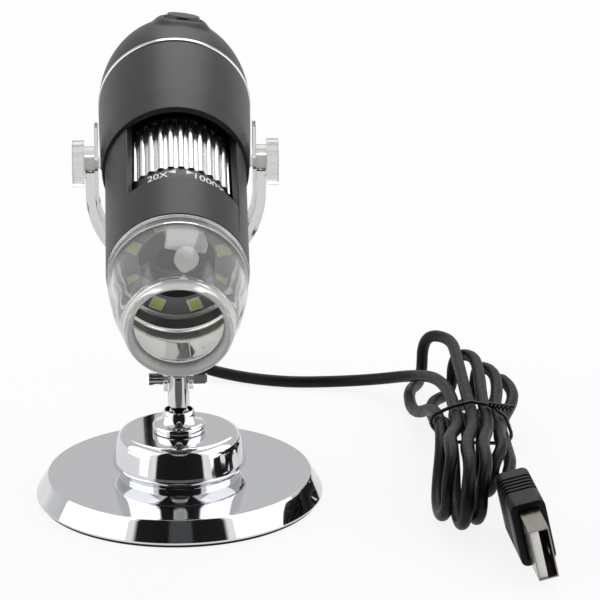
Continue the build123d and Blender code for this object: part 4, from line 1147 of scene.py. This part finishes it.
def wrapped(piece, radius, middle_angle, height):
    """Wrap a flat XY mesh round the microscope: X goes round, Y goes along the axis."""
    for vertex in piece.data.vertices:
        angle = middle_angle + vertex.co.x / radius
        far = radius + vertex.co.z
        vertex.co = (far * math.cos(angle), far * math.sin(angle), height + vertex.co.y)


class MICROSCOPE_OT_scale(bpy.types.Operator):
    """Black band with plain generic marks and two arrows"""
    bl_idname = "microscope.scale"
    bl_label = "Scale band"

    def execute(self, context):
        band = turned("scale_ring", box_outline(BAND_BORE, BAND_RADIUS - 0.03, WHEEL_FRONT, BAND_REAR - 0.05),
                      144, 0.12)
        deliver(smooth(band, 50), scope_place(), "focus", "band_black", "band", "scale_band")
        settings = finish_settings()
        marks = []
        for side, text, near, width in ((-1, settings.low_mark, -2.8, 4.85),
                                        (1, settings.high_mark, 3.1, 7.97)):
            marks += [self.add_number(side, text, near, width), self.add_arrow(side)]
        marks = join(marks, "scale_marks")
        edit_all(marks)
        bpy.ops.mesh.quads_convert_to_tris()
        bpy.ops.mesh.subdivide(number_cuts=2)
        end_edit()
        wrapped(marks, BAND_RADIUS - 0.015, math.radians(-94) + WINDOW_ROLL, MARKS_ALONG)
        ink = marks.modifiers.new("ink", "SOLIDIFY")
        ink.thickness = 0.02
        ink.offset = 0.0
        apply_modifier(marks, ink)
        deliver(marks, scope_place(), "focus", "band_black", "print")
        return {"FINISHED"}

    def add_number(self, side, text, near, width):
        """A number that starts beside its arrow and has a given width."""
        clear_choice()
        bpy.ops.object.text_add(location=(0, 0, 0))
        letters = bpy.context.object.data
        letters.body = text
        letters.size = MARK_SIZE
        letters.offset = 0.05
        letters.align_x = "RIGHT" if side < 0 else "LEFT"
        letters.resolution_u = 6
        bpy.ops.object.convert(target="MESH")
        words = bpy.context.object
        ends = sorted((vertex.co.x for vertex in words.data.vertices), key=lambda x: x * side)
        words.data.transform(Matrix.Translation((near, -1.25, 0)) @
                             Matrix.Scale(width / abs(ends[-1] - ends[0]), 4, (1, 0, 0)) @
                             Matrix.Translation((-ends[0], 0, 0)))
        return words

    def add_arrow(self, side):
        """A flat triangle that points away from the middle."""
        clear_choice()
        bpy.ops.mesh.primitive_circle_add(vertices=3, radius=1.15, fill_type="NGON")
        arrow = started("arrow")
        arrow.data.transform(Matrix.Translation((side * 1.75, 0.75, 0)) @ turn_by(-90 * side) @
                             Matrix.Scale(0.85, 4, (1, 0, 0)))
        return arrow


class MICROSCOPE_OT_relief(bpy.types.Operator):
    """Grooved strain relief and the dimmer wheel"""
    bl_idname = "microscope.relief"
    bl_label = "Strain relief and dimmer"

    def execute(self, context):
        dress("mold", "strain_relief")
        dress("button", "dimmer_wheel")
        return {"FINISHED"}


# stage

def mix_shader(tree, share, first, second):
    return add_node(tree, "ShaderNodeMixShader", {0: share, 1: first, 2: second}).outputs["Shader"]


def background(tree, colour, strength=1.0):
    made = add_node(tree, "ShaderNodeBackground", {"Color": colour, "Strength": strength})
    return made.outputs["Background"]


def grey_ramp(tree, share, stops):
    """Grey levels at their places along a share."""
    made = add_node(tree, "ShaderNodeValToRGB", {"Fac": share})
    steps = made.color_ramp.elements
    steps.remove(steps[-1])
    steps[0].position = stops[0][0]
    steps[0].color = (stops[0][1],) * 3 + (1.0,)
    for place, level in stops[1:]:
        steps.new(place).color = (level, level, level, 1.0)
    return made.outputs["Color"]


def studio_look(tree, direction):
    """What metal and clear plastic see: bright sides, a grey backdrop and a dark room in front."""
    parts = split(tree, direction)
    level = add_node(tree, "ShaderNodeCombineXYZ", {"X": parts["X"], "Y": parts["Y"]}).outputs["Vector"]
    facing = heading(tree, level)["Y"]
    around = grey_ramp(tree, remap(tree, facing, 1.0, -1.0), ROOM_AROUND)
    card = maths(tree, "MULTIPLY", remap(tree, facing, -0.980, -0.987), remap(tree, parts["Z"], 0.50, 0.54))
    front = blend(tree, card, around, GREY_CARD)
    behind = grey_ramp(tree, remap(tree, parts["Z"], -1.0, 1.0), ROOM_BEHIND)
    sides = blend(tree, remap(tree, facing, -0.2, 0.5), front, behind)
    return blend(tree, remap(tree, parts["Z"], 0.93, 0.97), sides, ROOM_TOP)


def floor_material():
    """White paper that glows to the camera, and shows mirrors a darker patch in front of the foot."""
    material = bpy.data.materials.new("white_paper_sweep")
    material.use_nodes = True
    tree = material.node_tree
    tree.nodes.clear()
    rays = add_node(tree, "ShaderNodeLightPath").outputs
    place = object_place(tree)
    dark = maths(tree, "MULTIPLY", remap(tree, heading(tree, place)["Y"], -0.72, -0.79),
                 remap(tree, split(tree, place)["Y"], -0.045, -0.06))
    mirrored = maths(tree, "SUBTRACT", rays["Is Glossy Ray"], rays["Is Transmission Ray"])
    tone = blend(tree, rays["Is Glossy Ray"], WHITE, FLOOR_MIRRORED)
    tone = blend(tree, rays["Is Transmission Ray"], tone, SEEN_THROUGH)
    tone = blend(tree, maths(tree, "MULTIPLY", dark, mirrored), tone, FLOOR_DARK)
    glow = add_node(tree, "ShaderNodeEmission", {"Color": tone, "Strength": 1.0}).outputs["Emission"]
    paper = add_node(tree, "ShaderNodeBsdfDiffuse", {"Color": linear("#F4F4F4") + [1.0]}).outputs["BSDF"]
    seen = maths(tree, "ADD", rays["Is Camera Ray"], rays["Is Glossy Ray"])
    seen = maths(tree, "MAXIMUM", seen, rays["Is Transmission Ray"])
    surface = mix_shader(tree, maths(tree, "MULTIPLY", seen, FLOOR_GLOW), paper, glow)
    add_node(tree, "ShaderNodeOutputMaterial", {"Surface": surface})
    return material


def fill_world(world, ambient_level):
    """White to the camera, the studio to mirrors and clear plastic, an even light to matt surfaces."""
    world.use_nodes = True
    tree = world.node_tree
    tree.nodes.clear()
    rays = add_node(tree, "ShaderNodeLightPath").outputs
    direction = add_node(tree, "ShaderNodeTexCoord").outputs["Generated"]
    through = maths(tree, "MULTIPLY", rays["Is Transmission Ray"], 0.65)
    look = background(tree, blend(tree, through, studio_look(tree, direction), SEEN_THROUGH))
    seen = maths(tree, "MAXIMUM", rays["Is Glossy Ray"], rays["Is Transmission Ray"])
    first = mix_shader(tree, seen, background(tree, WHITE, ambient_level), look)
    last = mix_shader(tree, rays["Is Camera Ray"], first, background(tree, WHITE))
    add_node(tree, "ShaderNodeOutputWorld", {"Surface": last})


class MICROSCOPE_OT_stage(bpy.types.Operator):
    """White sweep, softboxes and world"""
    bl_idname = "microscope.stage"
    bl_label = "Stage"

    def execute(self, context):
        settings = studio_settings()
        clear_choice()
        bpy.ops.mesh.primitive_plane_add(size=settings.floor_size)
        floor = named("floor")
        floor.data.materials.append(floor_material())
        context.scene.world = context.scene.world or bpy.data.worlds.new("studio")
        fill_world(context.scene.world, settings.ambient)
        self.add_softbox("softbox_top", *TOP_BOX, settings.key_power)
        for name, side in (("softbox_left", -1), ("softbox_right", 1)):
            (x, y, z), width, height = SIDE_BOX
            self.add_softbox(name, (side * x, y, z), width, height, settings.side_power)
        context.scene.view_settings.view_transform = "Standard"
        return {"FINISHED"}

    def add_softbox(self, name, spot, width, height, power):
        """A rectangular lamp that points at the stand."""
        clear_choice()
        bpy.ops.object.light_add(type="AREA", location=spot)
        box = bpy.context.object
        box.name = name
        box.data.shape = "RECTANGLE"
        box.data.size = width
        box.data.size_y = height
        box.data.energy = power
        box.rotation_mode = "QUATERNION"
        box.rotation_quaternion = (Vector(AIM_POINT) - Vector(spot)).to_track_quat("-Z", "Y")


class MICROSCOPE_PT_pieces(bpy.types.Panel):
    """Lists the pieces, the stage and their settings"""
    bl_label = "Microscope"
    bl_idname = "MICROSCOPE_PT_pieces"
    bl_space_type = "VIEW_3D"
    bl_region_type = "UI"
    bl_category = "Microscope"

    def draw(self, context):
        layout = self.layout
        for group in (context.scene.microscope_finish, context.scene.microscope_studio):
            for key in group.__annotations__:
                layout.prop(group, key)
        for step in STEPS:
            layout.operator(step.bl_idname)


STEPS = (
    MICROSCOPE_OT_camera, MICROSCOPE_OT_cord, MICROSCOPE_OT_tie, MICROSCOPE_OT_plug, MICROSCOPE_OT_foot,
    MICROSCOPE_OT_stem, MICROSCOPE_OT_yoke, MICROSCOPE_OT_barrel, MICROSCOPE_OT_shell, MICROSCOPE_OT_dome,
    MICROSCOPE_OT_button, MICROSCOPE_OT_nose, MICROSCOPE_OT_lamps, MICROSCOPE_OT_optics, MICROSCOPE_OT_wheel,
    MICROSCOPE_OT_scale, MICROSCOPE_OT_relief, MICROSCOPE_OT_stage)
CLASSES = (MicroscopeFinish, MicroscopeStudio) + STEPS + (MICROSCOPE_PT_pieces,)


def register():
    for each in CLASSES:
        bpy.utils.register_class(each)
    bpy.types.Scene.microscope_finish = bpy.props.PointerProperty(type=MicroscopeFinish)
    bpy.types.Scene.microscope_studio = bpy.props.PointerProperty(type=MicroscopeStudio)


def unregister():
    del bpy.types.Scene.microscope_studio
    del bpy.types.Scene.microscope_finish
    for each in reversed(CLASSES):
        bpy.utils.unregister_class(each)


def main():
    register()
    make_materials()
    for step in STEPS:
        group, action = step.bl_idname.split(".")
        result = getattr(getattr(bpy.ops, group), action)()
        if "FINISHED" not in result:
            raise RuntimeError(f"{step.bl_label} did not finish")


if __name__ == "__main__":
    main()
